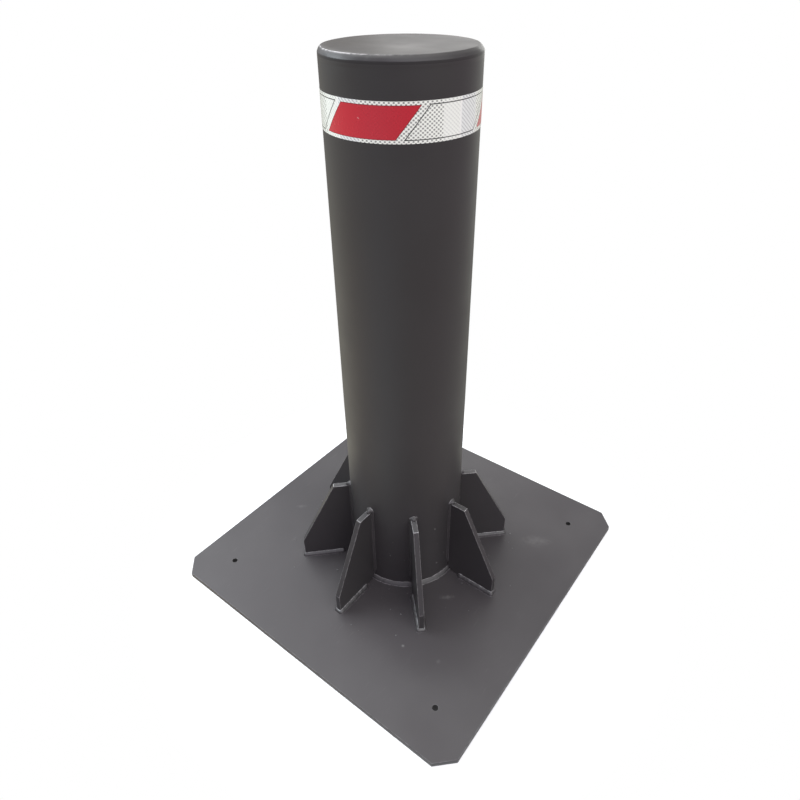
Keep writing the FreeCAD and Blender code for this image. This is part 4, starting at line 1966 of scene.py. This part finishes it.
@dataclass
class Studio:
    """Pale floor and backdrop, soft light and the camera."""

    camera_place: tuple[float, float, float] = (-0.7317, -0.5643, 1.0785)
    heading: float = 51.952
    pitch: float = 34.356
    roll: float = 0.841
    lens: float = 28.46
    shift: tuple[float, float] = (-0.0006, -0.0318)
    sharpness: float = 8.0
    pale: float = 1.0
    aim: tuple[float, float, float] = (0.0, 0.0, 0.3)
    floor_tone: float = 0.95
    # Near-black painted shade on the floor under the plate, in a square of this half width.
    shaded_tone: float = 0.02
    shaded_half: float = 0.31
    floor_rings: tuple[float, ...] = (0.0, 0.6, 1.5, 3.0, 8.0, 40.0)
    floor_steps: int = 128
    fade: tuple[float, float] = (0.34, 0.56)
    backdrop_radius: float = 45.0

    def build(self) -> None:
        """Build the whole studio."""
        bpy.context.scene.view_settings.view_transform = "Standard"
        self._surroundings()
        self._floor()
        self._backdrop()
        for box in self._boxes():
            box.build()
        self._camera()

    def _boxes(self) -> list[Softbox]:
        """List the studio's lights.

        Returns:
            Two lights from the sides and one from above.
        """
        return [
            Softbox("left box", (-0.9, 1.5, 1.6), self.aim, 1.0, 1.0, 19.8, (0.91, 1.02, 1.07)),
            Softbox("overhead box", (0.3, 0.3, 2.4), self.aim, 1.6, 1.6, 10.4, (1.1, 1.02, 0.88)),
            Softbox("rear box", (2.35, 1.0, 1.3), self.aim, 1.5, 1.5, 12.0, (1.0, 1.0, 0.99)),
        ]

    def _glows(self) -> list[Glow]:
        """List the surroundings' glows: a key from the left, fill, a rim and light off the ground.

        Returns:
            The glows, the ones from above first.
        """
        return [
            Glow(90, 42, 3.98, (0.96, 1.0, 1.04)),
            Glow(180, 42, 0.58, (0.97, 0.96, 1.08)),
            Glow(225, 42, 1.7, (1.02, 0.89, 1.09)),
            Glow(270, 42, 3.1, (1.0, 1.02, 0.98)),
            Glow(0, 90, 1.5, (0.9, 1.01, 1.1)),
            Glow(0, 5, 0.77, (1.0, 1.03, 0.96)),
            Glow(45, 5, 0.25, (1.16, 1.01, 0.82)),
            Glow(315, 5, 0.21, (1.13, 0.74, 1.12)),
            Glow(0, -35, 0.27, (1.06, 1.04, 0.9)),
            Glow(90, -35, 0.66, (1.09, 1.05, 0.86)),
            Glow(135, -35, 0.51, (1.19, 1.01, 0.79)),
            Glow(180, -35, 0.6, (0.95, 1.02, 1.03)),
            Glow(225, -35, 0.24, (1.11, 1.04, 0.84)),
            Glow(270, -35, 0.23, (1.17, 0.94, 0.89)),
            Glow(315, -35, 0.33, (1.05, 1.03, 0.92)),
            Glow(0, -90, 1.82, (0.94, 1.0, 1.06)),
        ]

    def _surroundings(self) -> None:
        """Light the scene softly from all round."""
        world = bpy.data.worlds.new("studio")
        world.use_nodes = True
        graph = Graph(world.node_tree)
        way = graph.node("ShaderNodeTexCoord").outputs["Generated"]
        total: Value = (0.0, 0.0, 0.0)
        for glow in self._glows():
            total = graph.vector("ADD", total, glow.light(graph, way, self.sharpness))
        graph.feed(graph.tree.nodes["Background"].inputs["Color"], total)
        bpy.context.scene.world = world

    def _glowing(self, name: str, strength: float) -> bpy.types.Material:
        """Make a plain white glowing material.

        Args:
            name: The material's name.
            strength: How bright it glows.

        Returns:
            The material.
        """
        made = bpy.data.materials.new(name)
        made.use_nodes = True
        graph = Graph(made.node_tree)
        glow = graph.node("ShaderNodeEmission", {"Color": (1.0, 1.0, 1.0, 1.0), "Strength": strength})
        graph.feed(graph.tree.nodes["Material Output"].inputs["Surface"], glow.outputs[0])
        return made

    def _show_to_camera_only(self, piece: bpy.types.Object) -> None:
        """Args:
            piece: The stage piece.
        """
        piece.visible_diffuse = False
        piece.visible_glossy = False
        piece.visible_shadow = False

    def _backdrop(self) -> None:
        """Hang a pale backdrop all round."""
        bm = bmesh.new()
        bmesh.ops.create_icosphere(bm, subdivisions=4, radius=self.backdrop_radius)
        bmesh.ops.reverse_faces(bm, faces=bm.faces)
        mesh = bpy.data.meshes.new("studio_backdrop")
        bm.to_mesh(mesh)
        bm.free()
        backdrop = Shop.linked("studio_backdrop", mesh)
        mesh.materials.append(self._glowing("pale backdrop", self.pale))
        self._show_to_camera_only(backdrop)

    def _floor(self) -> None:
        """Lay the floor, whose colour runs into the backdrop's far from the bollard, with a near-black
        square of painted shade under the plate.
        """
        floor = self._floor_disc()
        made = self._glowing("pale floor", self.pale)
        graph = Graph(made.node_tree)
        place = graph.node("ShaderNodeTexCoord").outputs["Object"]
        far = graph.band(graph.length(place), *self.fade)
        x, y, _ = graph.split(graph.vector("ABSOLUTE", place))
        outside = graph.math("GREATER_THAN", graph.math("MAXIMUM", x, y), self.shaded_half)
        tone = graph.blend(outside, opaque((self.shaded_tone,) * 3), opaque((self.floor_tone,) * 3))
        matt = graph.node("ShaderNodeBsdfDiffuse", {"Color": tone})
        glow = graph.tree.nodes["Emission"]
        mixed = graph.node("ShaderNodeMixShader", {0: far, 1: matt.outputs[0], 2: glow.outputs[0]})
        graph.feed(graph.tree.nodes["Material Output"].inputs["Surface"], mixed.outputs[0])
        floor.data.materials.append(made)
        self._show_to_camera_only(floor)

    def _floor_disc(self) -> bpy.types.Object:
        """Cut the floor as a wide disc of rings.

        Returns:
            The disc.
        """
        steps = self.floor_steps
        angles = np.linspace(0.0, 2 * math.pi, steps, endpoint=False)
        vertices = [(r * math.cos(a), r * math.sin(a), 0.0) for r in self.floor_rings for a in angles]
        faces = []
        for ring in range(len(self.floor_rings) - 1):
            low, high = ring * steps, (ring + 1) * steps
            for step, after in Shop.rounds(steps):
                faces.append([low + step, high + step, high + after, low + after])
        return Shop.piece("studio_floor", vertices, faces)

    def _camera(self) -> None:
        """Set up the camera from its heading, pitch and roll."""
        heading, pitch, roll = (math.radians(a) for a in (self.heading, self.pitch, self.roll))
        ahead = Vector(
            (math.sin(heading) * math.cos(pitch), math.cos(heading) * math.cos(pitch), -math.sin(pitch))
        )
        level = Vector((math.cos(heading), -math.sin(heading), 0.0))
        down = ahead.cross(level)
        right = math.cos(roll) * level + math.sin(roll) * down
        up = math.sin(roll) * level - math.cos(roll) * down
        data = bpy.data.cameras.new("camera")
        data.sensor_width = 36.0
        data.lens = self.lens
        data.shift_x, data.shift_y = self.shift
        data.clip_end = 100.0
        camera = bpy.data.objects.new("camera", data)
        bpy.context.scene.collection.objects.link(camera)
        turn = Matrix((right, up, -ahead)).transposed().to_4x4()
        camera.matrix_world = Matrix.Translation(self.camera_place) @ turn
        bpy.context.scene.camera = camera


# ---------------------------------------------------------------------------- the whole bollard


def paint_plate() -> bpy.types.Material:
    """Mix the plate's paint: dusting with painted top light, scuffs, painted shade on upright faces and
    in the bores, and its five pale smudges.

    Returns:
        The plate's material.
    """
    smudges = (
        Smudge(x=-0.0607, y=0.2543, length=36 * MM, width=15 * MM, strength=0.3),
        Smudge(x=0.1709, y=-0.2247, length=88 * MM, width=46 * MM, strength=0.22),
        Smudge(x=-0.0629, y=-0.1493, length=38 * MM, width=16 * MM, strength=0.38),
        Smudge(x=-0.1991, y=-0.144, length=9 * MM, width=9 * MM, strength=0.7),
        Smudge(x=-0.186, y=-0.2132, length=14 * MM, width=14 * MM, strength=0.2),
    )
    paint = SteelPaint(
        "plate paint",
        tone=(0.0368, 0.0319, 0.0342),
        dust_and_light=0.1,
        scuffs=0.13,
        wear_and_highlight=0.2,
        upright_shade=0.6,
        smudges=smudges,
    )
    return paint.material()


def main() -> None:
    """Build every sub-assembly in order."""
    logging.basicConfig(level=logging.INFO, format="%(message)s", stream=sys.stdout)
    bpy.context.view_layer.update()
    sizes = Sizes.from_frame()
    plate_paint = paint_plate()
    post_paint = SteelPaint("post paint")
    # The gussets and side beads get more dusting and edge brightening, which also paint light on their
    # tops and highlights on their edges.
    rib_paint = SteelPaint("gusset paint", dust_and_light=0.5, wear_and_highlight=0.9)
    bead_paint = SteelPaint("bead paint", roughness=0.36, tone=(0.036, 0.033, 0.034), wear_and_highlight=0.8)
    side_paint = SteelPaint("side bead paint", roughness=0.42, dust_and_light=0.45, wear_and_highlight=0.55)
    cap_paint = SteelPaint("cap paint", roughness=0.36, specular=0.27, dust_and_light=0.16, wear_and_highlight=1.0)
    # The droplets' lighter tone is painted sheen, standing in for their highlights.
    spatter_paint = SteelPaint("spatter paint", roughness=0.3, tone=(0.1, 0.098, 0.096), wear_and_highlight=0.0)
    beads = bead_paint.material()
    Studio().build()
    BasePlate(sizes).build(plate_paint)
    Post(sizes).build(post_paint.material(), cap_paint.material(), beads)
    Gussets(sizes).build(rib_paint.material())
    WeldShop(sizes).build(beads, side_paint.material())
    Spatter(sizes).build(spatter_paint.material())
    TapeBand(sizes).build()


if __name__ == "__main__":
    main()
